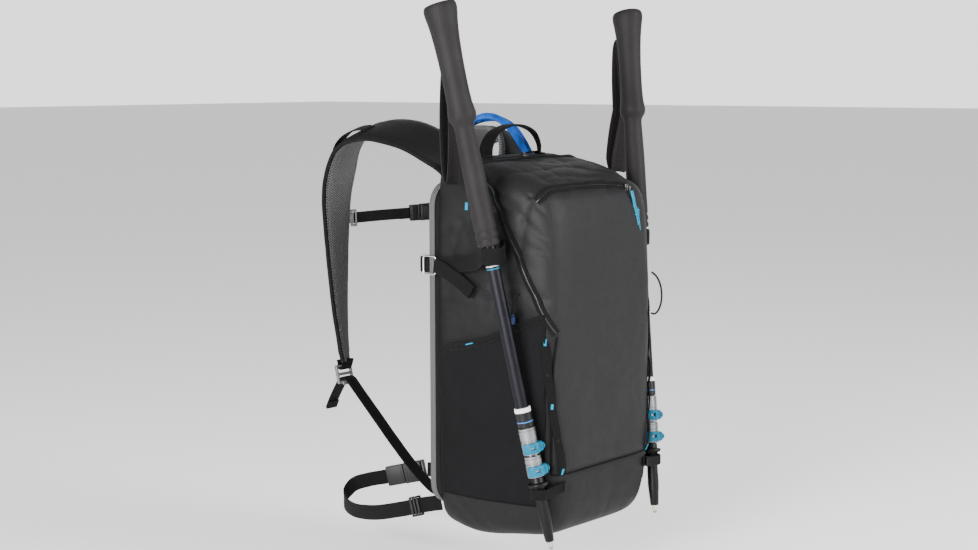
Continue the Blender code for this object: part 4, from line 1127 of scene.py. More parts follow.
def make_pocket(side, surface, paints):
    """A stretch pocket, sewn down on three sides, that stands off the bag at its mouth."""
    name = SIDE_NAMES[side]
    columns, rows = 48, 40
    hem_y, hem_z = zip(*POCKET_HEM)
    points, faces = [], []
    for row in range(rows + 1):
        for column in range(columns + 1):
            share, height = column / columns, row / rows
            y = hem_y[0] + (hem_y[-1] - hem_y[0]) * share
            z = POCKET_FLOOR + (np.interp(-y, [-v for v in hem_y], hem_z) - POCKET_FLOOR) * height
            belly = max(0.0, math.sin(math.pi * min(1.0, share / 0.86))) ** 0.9
            ripple = noise.noise(Vector((side, y * 30 + z * 16, z * 30 - y * 22))) * 0.0014
            gather = 0.0003 * math.sin(y * 560) * height**12
            edge = min(1.0, 6 * share, 6 * (1 - share), 6 * height)
            stand = 0.0014 + 0.0095 * height**1.4 * belly + (ripple + gather) * edge
            out = Vector((side, -1.6 * max(0.0, share - 0.78), 0)).normalized()
            points.append(surface.side(side, y, z) + out * stand)
    across = columns + 1
    for row in range(rows):
        for column in range(columns):
            a = row * across + column
            quad = (a, a + 1, a + 1 + across, a + across)
            faces.append(quad if side == LEFT else quad[::-1])
    sheet = mesh_of("side_pocket", points, faces, fix=False)
    hem = points[-across:]
    piece("side_pocket_fabric_" + name, thicken(sheet, 0.0012), paints["stretch"], "pack")
    line = [p + Vector((side * 0.0002, 0, -0.0042)) for p in hem]
    mesh = swept("pocket_hem_" + name, line, (0, 0, 1), lambda i: flat_section(0.0100, 0.0026, 0.0002))
    piece("pocket_hem_" + name, mesh, paints["binding"], "pack", ("side_pocket_" + name,))
    proud = [p + Vector((side * 0.0014, 0, -0.0036)) for p in line]
    stitches("hem_stitches_" + name, proud, [Vector((side, 0, 0))] * len(proud), paints["thread"], "pack")
    border = [points[r * across + columns] for r in range(rows + 1)][::-1] + points[:across][::-1]
    tube("pocket_piping_" + name, evened(border, 0.004), 0.0009, paints["binding"], "pack", sides=8)
    near = min(range(len(line)), key=lambda i: abs(line[i].y + 0.0842))
    frame_here = axes_matrix(line[near] + Vector((side * 0.0016, 0, 0.0014)), line[near + 1] - line[near - 1])
    dash = [((-0.0065, -0.0006, -0.0008), (0.0065, 0.0006, 0.0008))]
    mesh = blocks("pocket_dash_" + name, dash, frame_here, 0.0004)
    piece("pocket_dash_" + name, mesh, paints["cyan_thread"], "pack")


# Front edge strips, from the top down: x and z on the bag's front
EDGE_STRIP = ((-0.1068, 0.1385), (-0.1048, 0.095), (-0.1020, 0.057), (-0.0965, 0.018), (-0.0905, -0.022))
TACKS = ((0.0, "cyan_thread"), (0.25, "thread"), (0.5, "cyan_thread"), (0.75, "thread"), (1.0, "cyan_thread"))


def make_daisy_chain(side, surface, paints):
    """A webbing strip on the front edge, tacked down so that it stands off in loops."""
    name = SIDE_NAMES[side]
    line = evened([Vector((x, 0, z)) for x, z in smooth_path_2d(EDGE_STRIP, 6)], 0.0025)
    path, across, outs = [], [], []
    for i, p in enumerate(line):
        share = 4 * i / (len(line) - 1)
        near, far = surface.front(p.x - 0.004, p.z), surface.front(p.x + 0.004, p.z)
        slope = (far - near).normalized()
        out = slope.cross(UP).normalized()
        out = out if out.y < 0 else -out
        bulge = 0.0034 if int(min(share, 3.99)) % 2 else 0.0026
        path.append((near + far) / 2 + out * (0.0013 + bulge * abs(math.sin(math.pi * share)) ** 0.7))
        across.append(slope)
        outs.append(out)
    path, across, outs = (mirrored(x, side) for x in (path, across, outs))
    webbing(f"daisy_strip_{name}", path, across, 0.0105, paints["narrow"], "pack", 0.0014, wave=0.0012,
            replaces=("daisy_chain_" + name,))
    for number, (share, thread) in enumerate(TACKS):
        i = round(share * (len(path) - 1))
        along = path[max(i - 1, 0)] - path[min(i + 1, len(path) - 1)]
        here = axes_matrix(path[i] + outs[i] * 0.0008, across[i], along)
        mesh = blocks("tack", [((-0.0017, -0.0005, -0.0044), (0.0017, 0.0005, 0.0044))], here, 0.0005)
        piece(f"bar_tack_{name}_{number}", mesh, paints[thread], "pack")


def smooth_path_2d(knots, steps):
    return [(p.x, p.y) for p in smooth_path([(a, b, 0) for a, b in knots], steps)]


def pole_point(side, distance):
    place = POLE_TIP + POLE_LEAN.normalized() * distance
    return Vector((place.x * -side, place.y, place.z))


HOOK = Vector((0.1287, -0.0126, 0.2230))
HOOK_HALF_Y, HOOK_HALF_Z, HOOK_WIRE = 0.0100, 0.0113, 0.0013


def make_compression(side, surface, paints):
    """The upper side strap: round its wire hook, over the pole and back to the bag, with a loose tail."""
    name = SIDE_NAMES[side]
    pole = pole_point(LEFT, 0.3662)
    wrap = UPPER_RADIUS + 0.0048
    knots = [(-0.1195, -0.0090, HOOK.z), (-0.1228, 0.0010, HOOK.z), (-0.1252, 0.0044, HOOK.z)]
    knots += [(-0.1266, 0.0015, HOOK.z), (-0.1266, -0.0100, HOOK.z), (-0.1266, -0.0190, HOOK.z)]
    knots.append((-0.1286, -0.0450, 0.2250))
    knots += [(-0.1375, -0.0850, 0.2310), (-0.1545, -0.1150, 0.2380)]
    for degrees in (165, 200, 235, 270, 305):
        angle = math.radians(degrees)
        knots.append((pole.x + wrap * math.cos(angle), pole.y + wrap * math.sin(angle), pole.z))
    root = surface.side(LEFT, -0.1270, 0.2510, 0.0010)
    knots += [(-0.1370, -0.1400, 0.2475), tuple(root), tuple(surface.side(LEFT, -0.1200, 0.2518, 0.0008))]
    path = mirrored(evened(smooth_path(knots, 6), 0.0022), side)
    strap = "compression_strap_" + name
    webbing("compression_webbing_" + name, path, (0, 0, 1), 0.020, paints["webbing"], "pack",
            replaces=(strap,))
    tail = [(-0.1286, -0.0205, HOOK.z), (-0.1308, -0.0320, 0.2210), (-0.1330, -0.0470, 0.2155)]
    tail += [(-0.1338, -0.0640, 0.2075), (-0.1322, -0.0780, 0.1985), (-0.1318, -0.0850, 0.1945)]
    path = mirrored(evened(smooth_path(tail, 6), 0.0022), side)
    across = [Vector((0, -0.45 * min(1, i / 12), 1)) for i in range(len(path))]
    webbing("compression_tail_" + name, path, across, 0.0185, paints["webbing"], "pack", 0.0018, wave=0.0006)
    fold = [p + Vector((side * 0.0016, 0, 0)) for p in path[-6:]]
    webbing("compression_tail_fold_" + name, fold, across[-6:], 0.0185, paints["webbing"], "pack", 0.0016)

    ring = []
    for a, b, start in ((1, 1, 0), (-1, 1, 90), (-1, -1, 180), (1, -1, 270)):
        for step in range(5):
            turn = math.radians(start + 22.5 * step)
            y = HOOK.y + a * (HOOK_HALF_Y - 0.003) + 0.003 * math.cos(turn)
            z = HOOK.z + b * (HOOK_HALF_Z - 0.003) + 0.003 * math.sin(turn)
            ring.append(Vector((side * HOOK.x, y, z)))
    mesh = swept("hook", ring, (1, 0, 0), lambda i: round_section(HOOK_WIRE, 10), closed=True)
    piece("hook_wire_" + name, mesh, paints["steel"], "pack", ("compression_hook_" + name,))


def make_pole_loop(side, surface, paints):
    pole = pole_point(LEFT, 0.0710)
    wrap = 0.0108
    root_x, height = -0.0880, pole.z + 0.004
    knots = [Vector((root_x + 0.004, surface.front(root_x + 0.004, height).y - 0.0010, height))]
    knots.append(Vector((root_x, surface.front(root_x, height).y - 0.0016, height)))
    knots.append(Vector((-0.0990, surface.front(-0.0990, pole.z).y - 0.0030, pole.z + 0.002)))
    for degrees in (-25, 20, 65, 110, 155, 200, 245, 285):
        angle = math.radians(degrees)
        knots.append(Vector((pole.x + wrap * math.cos(angle), pole.y + wrap * math.sin(angle), pole.z)))
    knots.append(Vector((-0.1010, surface.front(-0.0990, pole.z).y - 0.0080, pole.z + 0.002)))
    knots.append(Vector((root_x - 0.001, surface.front(root_x, pole.z).y - 0.0048, height)))
    path = mirrored(evened(smooth_path(knots, 5), 0.0020), side)
    loop = "pole_loop_" + SIDE_NAMES[side]
    webbing("tip_loop_" + SIDE_NAMES[side], path, (0, 0, 1), 0.0125, paints["narrow"], "pack", 0.0014,
            replaces=(loop,))
    here = axes_matrix(path[-1] + Vector((0, -0.0011, 0)), (1, 0, 0))
    mesh = blocks("tack", [((-0.0012, -0.0005, -0.0055), (0.0012, 0.0005, 0.0055))], here, 0.0004)
    piece("loop_tack_" + SIDE_NAMES[side], mesh, paints["thread"], "pack")


CORD_LOOP = (
    (0.1035, -0.1905, 0.2060), (0.1080, -0.1960, 0.1990), (0.1125, -0.1990, 0.1860),
    (0.1135, -0.1995, 0.1700), (0.1095, -0.1985, 0.1580), (0.1040, -0.1960, 0.1520),
    (0.0985, -0.1940, 0.1530),
)
CORD_LOOP_LEFT = (
    (-0.1170, -0.1470, 0.1960), (-0.1215, -0.1455, 0.1930), (-0.1245, -0.1430, 0.1840),
    (-0.1245, -0.1410, 0.1700), (-0.1235, -0.1400, 0.1580), (-0.1210, -0.1400, 0.1500),
    (-0.1165, -0.1400, 0.1480),
)


def curve_cord(name, route, radius, paint, body, replaces=()):
    """A round cord as a curve of one spline."""
    curve = bpy.data.curves.new(name, "CURVE")
    curve.dimensions = "3D"
    curve.bevel_depth = radius
    curve.bevel_resolution = 4
    curve.use_fill_caps = True
    line = curve.splines.new("POLY")
    line.points.add(len(route) - 1)
    for point, place in zip(line.points, route):
        point.co = (*place, 1)
    line.use_smooth = True
    curve.materials.append(paint)
    made = bpy.data.objects.new(name, curve)
    bpy.context.scene.collection.objects.link(made)
    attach(made, body)
    if replaces:
        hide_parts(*replaces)
    return made


def make_elastic_loops(paints):
    route = smooth_path(CORD_LOOP, 5)
    node = ("cord_loop_right",)
    made = curve_cord("elastic_loop_right", route, 0.0013, paints["black_cord"], "flap", node)
    route = smooth_path(CORD_LOOP_LEFT, 5)
    made = curve_cord("elastic_loop_left", route, 0.0013, paints["black_cord"], "pack")
    here = axes_matrix((-0.1250, -0.1408, 0.1650), (0, 1, 0))
    boxes = [((-0.0045, -0.0030, -0.0060), (0.0045, 0.0030, 0.0040))]
    boxes.append(((-0.0035, -0.0022, 0.0040), (0.0035, 0.0022, 0.0065)))
    piece("cord_lock_left", blocks("cord_lock", boxes, here, 0.0012), paints["rubber"], "pack")


# ---------------------------------------------------------------- back and water


def rounded_outline(x_low, x_high, z_low, z_high, radius, steps=6):
    points = []
    corners = ((x_high, z_high, 0), (x_low, z_high, 90), (x_low, z_low, 180), (x_high, z_low, 270))
    for x, z, start in corners:
        middle_x = x - radius if x == x_high else x + radius
        middle_z = z - radius if z == z_high else z + radius
        for i in range(steps + 1):
            angle = math.radians(start + 90 * i / steps)
            points.append((middle_x + radius * math.cos(angle), middle_z + radius * math.sin(angle)))
    return points


def cushion(name, outline, low_y, high_y, paint, node, pressure, cap, channels=(), voxel=0.0045):
    """A padded form from an (x, z) outline: remeshed, swelled, and drawn in along its sewn channels."""
    count = len(outline)
    points = [(x, y, z) for y in (low_y, high_y) for x, z in outline]
    faces = [(i, (i + 1) % count, count + (i + 1) % count, count + i) for i in range(count)]
    faces += [tuple(range(count)), tuple(range(count, 2 * count))]
    made = bpy.data.objects.new("plain", mesh_of("plain", points, faces))
    bpy.context.scene.collection.objects.link(made)
    modified(made, "REMESH", mode="VOXEL", voxel_size=voxel, adaptivity=0.0)
    modified(made, "SMOOTH", factor=0.5, iterations=4)
    mesh = baked(made)
    bpy.data.objects.remove(made)
    held = np.clip((high_y - 0.0010 - coordinates(mesh)[:, 1]) / (high_y - low_y), 0, 1) ** 0.5
    settle(mesh, pressure, cap, held=held)
    co = coordinates(mesh)
    face = np.clip((co[:, 1] - low_y) / (high_y - low_y), 0, 1)
    for (x0, z0), (x1, z1) in channels:
        span = np.array([x1 - x0, z1 - z0])
        share = np.clip(((co[:, 0] - x0) * span[0] + (co[:, 2] - z0) * span[1]) / (span @ span), 0, 1)
        far = np.hypot(co[:, 0] - x0 - share * span[0], co[:, 2] - z0 - share * span[1])
        co[:, 1] -= 0.0026 * np.exp(-((far / 0.0050) ** 2)) * face
    co[:, 1] += 0.0005 * face * smooth_noise(co, (60, 20, 60), 3.3)
    co[:, 1] = np.minimum(co[:, 1], high_y + 0.0012)
    mesh.vertices.foreach_set("co", co.astype(np.float32).ravel())
    mesh.update()
    mesh.shade_smooth()
    made = piece(name, mesh, paint, "pack", (node,))
    modified(made, "SUBSURF", levels=1, render_levels=1)
    made.data = baked(made)
    return made


def make_back(paints):
    low = BACK_Y + 0.0004
    outline = rounded_outline(-0.1262, 0.1262, -0.084, 0.326, 0.030)
    cushion("back_cover", outline, low, low + 0.008, paints["edge_mesh"], "back_panel", 2.0, 0.0012)
    pad_low = low + 0.0084
    pad = [(0.106, 0.100), (0.098, 0.292), (-0.098, 0.292), (-0.106, 0.100), (-0.084, 0.078), (-0.042, 0.078)]
    pad += [(-0.020, 0.100), (-0.018, 0.215), (0.018, 0.215), (0.020, 0.100), (0.042, 0.078), (0.084, 0.078)]
    channels = [((s * 0.094, 0.150), (s * 0.030, 0.150)) for s in (-1, 1)]
    channels += [((s * 0.094, 0.205), (s * 0.030, 0.205)) for s in (-1, 1)]
    channels.append(((-0.088, 0.255), (0.088, 0.255)))
    cushion("back_cushion", pad, pad_low, -0.0016, paints["pad_mesh"], "back_pad", 4.0, 0.0020, channels)
    outline = rounded_outline(-0.100, 0.100, -0.052, 0.052, 0.030)
    channels = [((-0.078, z), (0.078, z)) for z in (-0.018, 0.018)]
    mesh_finish = paints["pad_mesh"]
    cushion("lumbar_cushion", outline, pad_low, -0.0008, mesh_finish, "lumbar_pad", 4.0, 0.0020, channels)
    edge = rounded_outline(-0.1268, 0.1268, -0.0846, 0.3266, 0.0306)
    path = evened([Vector((x, low + 0.0042, z)) for x, z in edge + edge[:1]], 0.004)[:-1]
    section = flat_section(0.0086, 0.0014, 0.0003)
    mesh = swept("panel_edge_band", path, (0, 1, 0), lambda i: section, closed=True)
    piece("panel_edge_band", mesh, paints["mesh"], "pack")


RESERVOIR_LOW, RESERVOIR_HIGH = (-0.080, -0.062, -0.050), (0.080, -0.034, 0.225)
HOSE_RADIUS = 0.0047
HOSE_ROUTE = (
    (0.0000, -0.0682, -0.0200), (0.0140, -0.0750, -0.0150), (0.0340, -0.0800, 0.0060),
    (0.0500, -0.0800, 0.0450), (0.0560, -0.0780, 0.1000), (0.0580, -0.0760, 0.1600),
    (0.0560, -0.0730, 0.2100), (0.0525, -0.0640, 0.2600), (0.0495, -0.0490, 0.3100),
    (0.0480, -0.0370, 0.3480), (0.0485, -0.0260, 0.3680), (0.0520, -0.0060, 0.3880),
    (0.0575, 0.0180, 0.3985), (0.0645, 0.0450, 0.4020), (0.0715, 0.0815, 0.3950), (0.0769, 0.1117, 0.3737),
    (0.0822, 0.1305, 0.3425), (0.0865, 0.1380, 0.3092), (0.0903, 0.1399, 0.2551), (0.0928, 0.1381, 0.1995),
    (0.0962, 0.1355, 0.1500), (0.0995, 0.1395, 0.1150),
)
SECOND_STRAND = (
    (0.0390, -0.0380, 0.3480), (0.0385, -0.0290, 0.3650), (0.0400, -0.0120, 0.3850), (0.0450, 0.0100, 0.3985),
    (0.0520, 0.0350, 0.4045), (0.0590, 0.0620, 0.4020), (0.0660, 0.0900, 0.3880), (0.0720, 0.1050, 0.3740),
)


def make_water_system(paints):
    low, high = Vector(RESERVOIR_LOW), Vector(RESERVOIR_HIGH)
    shape = blocks("reservoir", [(low + Vector((0.004,) * 3), high - Vector((0.004,) * 3))], Matrix(), 0.008)
    made = bpy.data.objects.new("plain", shape)
    bpy.context.scene.collection.objects.link(made)
    modified(made, "REMESH", mode="VOXEL", voxel_size=0.006, adaptivity=0.0)
    modified(made, "SMOOTH", factor=0.5, iterations=6)
    mesh = baked(made)
    bpy.data.objects.remove(made)
    settle(mesh, 4.0, 0.0030)
    mesh.shade_smooth()
    made = piece("reservoir_pouch", mesh, paints["film"], "pack", ("reservoir",))
    turn = Matrix.Translation((0, low.y - 0.0004, 0.185)) @ Matrix.Rotation(math.radians(90), 4, "X")
    profile = [(0, 0), (0.0355, 0), (0.036, 0.0006), (0.036, 0.0095), (0.0352, 0.0105), (0.033, 0.0122)]
    profile += [(0.031, 0.0125), (0.030, 0.0112), (0.012, 0.0112), (0.0105, 0.0125), (0.010, 0.0155)]
    profile += [(0.0092, 0.016), (0, 0.016)]

    def ribbed(angle, radius, z):
        return (radius - 0.0008 * (math.cos(angle * 30) > 0) if radius > 0.0355 else radius), z

    mesh = turned_mesh("cap", profile, turn, 120, shape=ribbed)
    piece("reservoir_screw_cap", mesh, paints["rubber"], "reservoir_cap", ("reservoir_cap",))

    route = smooth_path(HOSE_ROUTE, 6)
    hose = curve_cord("drinking_hose", route, HOSE_RADIUS, paints["hose"], "pack", ("hose",))
    coarse = smooth_path(HOSE_ROUTE, 2)
    heading = (coarse[-1] - coarse[-2]).normalized()
    turn = heading.to_track_quat("Z", "Y").to_matrix().to_4x4()
    turn = Matrix.Translation(route[-1] + heading * 0.0004) @ turn
    profile = [(0, 0), (0.0062, 0), (0.0068, 0.0006), (0.0072, 0.008), (0.0078, 0.0085), (0.0078, 0.0105)]
    profile += [(0.0072, 0.011), (0.0072, 0.020), (0.0080, 0.0215), (0.0102, 0.0235), (0.0112, 0.029)]
    profile += [(0.0115, 0.034), (0.0108, 0.039), (0.0092, 0.044), (0.0078, 0.0465), (0.0045, 0.0478)]
    profile.append((0, 0.048))
    marks = [0] * 7 + [1] * 9

    def oval(angle, radius, z):
        flat = min(1.0, max(0.0, (z - 0.024) / 0.02))
        return radius * (1 - 0.35 * flat * math.sin(angle) ** 2), z

    mesh = turned_mesh("valve", profile, turn, 36, marks, oval)
    finish = [paints["mid_plastic"], paints["rubber"]]
    valve = piece("bite_valve_body", mesh, finish, "pack", ("bite_valve",))
    route = smooth_path(SECOND_STRAND, 6)
    strand = curve_cord("hose_second_strand", route, HOSE_RADIUS, paints["hose"], "pack")
    port = Matrix.Translation((0.0440, -0.0355, 0.3560)) @ Matrix.Rotation(math.radians(-24), 4, "X")

    def stretched(angle, radius, z):
        return radius * (1 + 0.55 * math.cos(angle) ** 2), z

    profile = [(0.0078, -0.001), (0.0092, -0.001), (0.0098, 0.0), (0.0092, 0.0012), (0.0078, 0.0012)]
    profile.append((0.0072, 0.0))
    mesh = turned_mesh("port", profile, port, 40, shape=stretched)
    piece("hose_port_binding", mesh, paints["binding"], "pack")


# ---------------------------------------------------------------- carrying straps

STRAP_EDGES = {
    LEFT: (
        ((-0.077, -0.0050, 0.3180), (-0.020, -0.0050, 0.3440)),
        ((-0.090, 0.0060, 0.3380), (-0.031, 0.0080, 0.3660)),
        ((-0.106, 0.0220, 0.3530), (-0.043, 0.0320, 0.3840)),
        ((-0.117, 0.0480, 0.3680), (-0.051, 0.0660, 0.3970)),
        ((-0.119, 0.0950, 0.3770), (-0.054, 0.1080, 0.4000)),
        ((-0.118, 0.1340, 0.3740), (-0.054, 0.1450, 0.3910)),
        ((-0.118, 0.1630, 0.3600), (-0.054, 0.1740, 0.3670)),
        ((-0.118, 0.1800, 0.3280), (-0.055, 0.1860, 0.3290)),
        ((-0.1175, 0.1850, 0.2950), (-0.056, 0.1940, 0.2950)),
        ((-0.117, 0.1820, 0.2500), (-0.058, 0.1970, 0.2500)),
        ((-0.117, 0.1760, 0.2000), (-0.062, 0.1960, 0.2000)),
        ((-0.116, 0.1690, 0.1450), (-0.067, 0.1930, 0.1450)),
        ((-0.113, 0.1620, 0.1000), (-0.075, 0.1850, 0.1000)),
        ((-0.1095, 0.1600, 0.0770), (-0.081, 0.1770, 0.0770)),
    ),
    RIGHT: (
        ((0.077, -0.0050, 0.3180), (0.020, -0.0050, 0.3440)),
        ((0.090, 0.0020, 0.3420), (0.032, 0.0040, 0.3670)),
        ((0.105, 0.0140, 0.3590), (0.044, 0.0200, 0.3830)),
        ((0.115, 0.0360, 0.3710), (0.052, 0.0460, 0.3900)),
        ((0.118, 0.0690, 0.3710), (0.056, 0.0800, 0.3860)),
        ((0.119, 0.0960, 0.3590), (0.057, 0.1070, 0.3680)),
        ((0.1195, 0.1130, 0.3360), (0.058, 0.1240, 0.3390)),
        ((0.1195, 0.1200, 0.3080), (0.059, 0.1310, 0.3080)),
        ((0.1195, 0.1215, 0.2550), (0.061, 0.1340, 0.2550)),
        ((0.1195, 0.1195, 0.2000), (0.063, 0.1330, 0.2000)),
        ((0.1190, 0.1155, 0.1450), (0.067, 0.1300, 0.1450)),
        ((0.1170, 0.1095, 0.0900), (0.073, 0.1240, 0.0900)),
        ((0.1130, 0.1040, 0.0450), (0.080, 0.1160, 0.0450)),
        ((0.1105, 0.1010, 0.0190), (0.084, 0.1110, 0.0190)),
    ),
}
STRAP_ROOT = ((0.0740, 0.3085), (0.0180, 0.3340))  # where both straps are sewn to the bag's back, as (x, z)
LOCK_PLACES = {LEFT: Vector((-0.0960, 0.1700, 0.0610)), RIGHT: Vector((0.0970, 0.1045, 0.0030))}
WEBBING_KNOTS = {
    LEFT: (
        (-0.0960, 0.1960, 0.0130), (-0.0960, 0.1900, 0.0250), (-0.0960, 0.1790, 0.0430),
        (-0.0960, 0.1700, 0.0555), (-0.0960, 0.1600, 0.0560), (-0.0966, 0.1450, 0.0430),
        (-0.0985, 0.1100, 0.0120), (-0.1010, 0.0700, -0.0230), (-0.1040, 0.0350, -0.0500),
        (-0.1060, 0.0050, -0.0690), (-0.1070, -0.0100, -0.0740),
    ),
    RIGHT: (
        (0.0970, 0.1230, -0.0520), (0.0970, 0.1210, -0.0370), (0.0970, 0.1130, -0.0150),
        (0.0970, 0.1045, -0.0025), (0.0970, 0.0945, -0.0020), (0.0972, 0.0860, -0.0090),
        (0.0985, 0.0660, -0.0220), (0.1010, 0.0440, -0.0350), (0.1040, 0.0200, -0.0480),
        (0.1060, 0.0010, -0.0570), (0.1070, -0.0100, -0.0600),
    ),
}


def padded_section(width, thick, mesh_paint_index):
    """A shoulder strap's section: crowned faces, tape on its outer edge and mesh round its inner one.

    Paint 0 is the + face and 2 the - face.
    """
    h, t = width / 2, thick / 2
    tape = [(h - 0.0046, -0.0026), (h - 0.0014, -0.0027), (h, -0.0014), (h, 0.0014), (h - 0.0014, 0.0027)]
    right = [(a, b, mesh_paint_index) for a, b in tape] + [(h - 0.0046, 0.0026, mesh_paint_index)]
    crown = ((0.93, 0.66), (0.72, 0.93), (0.38, 1.0), (0.0, 1.03), (-0.38, 1.0), (-0.72, 0.93), (-0.93, 0.66))
    plus = [((h - 0.0050) * a, max(0.0030, t * b), 0) for a, b in crown]
    left = [(-a, -b, 1) for a, b, _ in right]
    minus = [(-a, -b, 2) for a, b, _ in plus]
    return right + plus + left + minus


def make_shoulder_strap(side, surface, paints):
    name = SIDE_NAMES[side]
    root = tuple(surface.near((side * x, BACK_Y, z), -0.0012) for x, z in STRAP_ROOT)
    edges = [np.array(smooth_path([pair[i] for pair in (root, *STRAP_EDGES[side])], 10)) for i in (0, 1)]
    middle = [Vector(p) for p in (edges[0] + edges[1]) / 2]
    across = [Vector(a) for a in edges[1] - edges[0]]
    count = len(middle)
    widths = [a.length + 0.0012 * noise.noise(m * 55) for a, m in zip(across, middle)]
    thick = [0.0110 * min(1.0, 0.55 + i / 18, 0.50 + (count - 1 - i) / 14) for i in range(count)]
    thick = [t + 0.0007 * noise.noise(m * 28) for t, m in zip(thick, middle)]
    mesh_index = 0 if side == LEFT else 2
    mesh = swept("strap", middle, across, lambda i: padded_section(widths[i], thick[i], mesh_index))
    finish = [paints["mesh"], paints["binding"], paints["strap_face"]]
    finish = finish if side == LEFT else finish[::-1]
    made = piece("padded_strap_" + name, mesh, finish, "pack", ("shoulder_strap_" + name,))

    outs = []
    for i in range(count):
        along = (middle[min(i + 1, count - 1)] - middle[max(i - 1, 0)]).normalized()
        outs.append(along.cross(across[i].normalized()) * side)
    for edge, label in ((-1, "outer"), (1, "inner")):
        for face, word in ((1, "top"), (-1, "under")):
            reach = [(w / 2 - 0.0040) * edge for w in widths]
            places = zip(middle, across, reach, outs)
            line = [m + a.normalized() * r + o * 0.0028 * face for m, a, r, o in places]
            thread = paints["thread"] if face > 0 else paints["grey_thread"]
            up = [o * face for o in outs[4:-3]]
            stitches(f"strap_stitches_{name}_{label}_{word}", line[4:-3], up, thread, "pack")
    first, last = BRIDGE_SPAN[side]
    places = range(first, last + 1)
    line, wide = [], []
    for k, i in enumerate(places):
        share = k / (len(places) - 1)
        lift = thick[i] / 2 + 0.0008 + 0.0042 * math.sin(math.pi * share) ** 0.6
        shift = -widths[i] * 0.14
        line.append(middle[i] + across[i].normalized() * shift + outs[i] * lift)
        wide.append(across[i])
    webbing(f"keeper_bridge_{name}", line, wide, 0.0200, paints["webbing"], "pack", 0.0016)
    for number, k in enumerate((1, len(line) - 2)):
        here = axes_matrix(line[k] + outs[first + k] * 0.0010, wide[k], line[k + 1] - line[k - 1])
        mesh = blocks("tack", [((-0.0085, -0.0005, -0.0011), (0.0085, 0.0005, 0.0011))], here, 0.0004)
        piece(f"bridge_tack_{name}_{number}", mesh, paints["thread"], "pack")
    line = [middle[i] + outs[i] * (thick[i] / 2 + 0.0009) for i in range(last + 4, count - 2)]
    wide = across[last + 4 : count - 2]
    webbing(f"strap_rail_{name}", line, wide, 0.0105, paints["narrow"], "pack", 0.0013)

    make_ladder_lock(side, paints)
    path = evened(smooth_path(WEBBING_KNOTS[side], 8), 0.0025)
    lower = "strap_webbing_" + name
    webbing("adjuster_webbing_" + name, path, (1, 0, 0), 0.020, paints["webbing"], "pack", wave=0.0005,
            replaces=(lower,))
    ahead = (path[0] - path[3]).normalized()
    thicker = [path[0] + ahead * 0.001, path[1], path[2], path[3], path[4]]
    lifted = [p + ahead.cross(Vector((1, 0, 0))) * 0.0017 for p in thicker]
    webbing("webbing_end_fold_" + name, lifted, (1, 0, 0), 0.0200, paints["webbing"], "pack", 0.0017)
    bar = LOCK_PLACES[side] + Vector((0, 0.0028, 0.0092))
    tab = [middle[-3] + outs[-3] * 0.0045, middle[-1] + outs[-1] * 0.0036, bar]
    tab += [bar - Vector((0, 0.0050, 0.0022)), middle[-1] - outs[-1] * 0.0036, middle[-3] - outs[-3] * 0.0045]
    tab = evened(smooth_path(tab, 5), 0.002)
    webbing("lock_tab_" + name, tab, (1, 0, 0), 0.0200, paints["webbing"], "pack")


BRIDGE_SPAN = {LEFT: (54, 74), RIGHT: (50, 68)}  # steps along the strap's path


def make_ladder_lock(side, paints):
    """A frame with three bars, tilted on its webbing."""
    turn = Matrix.Translation(LOCK_PLACES[side]) @ Matrix.Rotation(math.radians(-14), 4, "X")
    boxes = [((x - 0.0016, -0.0022, -0.0125), (x + 0.0016, 0.0022, 0.0125)) for x in (-0.0130, 0.0130)]
    boxes += [((-0.0138, -0.0019, z - 0.0019), (0.0138, 0.0019, z + 0.0019)) for z in (-0.0108, 0.0108)]
    boxes.append(((-0.0138, -0.0024, -0.0020), (0.0138, 0.0020, 0.0020)))
    boxes.append(((-0.0080, -0.0034, -0.0152), (0.0080, -0.0012, -0.0100)))
    mesh = blocks("ladder_lock", boxes, turn, 0.0012)
    name = SIDE_NAMES[side]
    piece("lock_frame_" + name, mesh, paints["plastic"], "pack", ("ladder_lock_" + name,))


STERNUM_LEFT, STERNUM_RIGHT = Vector((-0.0525, 0.1965, 0.2665)), Vector((0.0560, 0.1340, 0.2730))
HIP_LEFT = (
    (-0.1060, -0.0100, -0.0860), (-0.1100, 0.0180, -0.0930), (-0.1080, 0.0600, -0.1060),
    (-0.0990, 0.1150, -0.1210), (-0.0820, 0.1700, -0.1290), (-0.0600, 0.2080, -0.1250),
    (-0.0400, 0.2100, -0.1090), (-0.0278, 0.1928, -0.1011), (-0.0160, 0.1720, -0.0960),
)
HIP_RIGHT = (
    (0.0140, 0.1190, -0.0830), (0.0400, 0.0740, -0.0840), (0.0720, 0.0280, -0.0880),
    (0.0900, 0.0050, -0.0920), (0.0990, -0.0100, -0.0940),
)


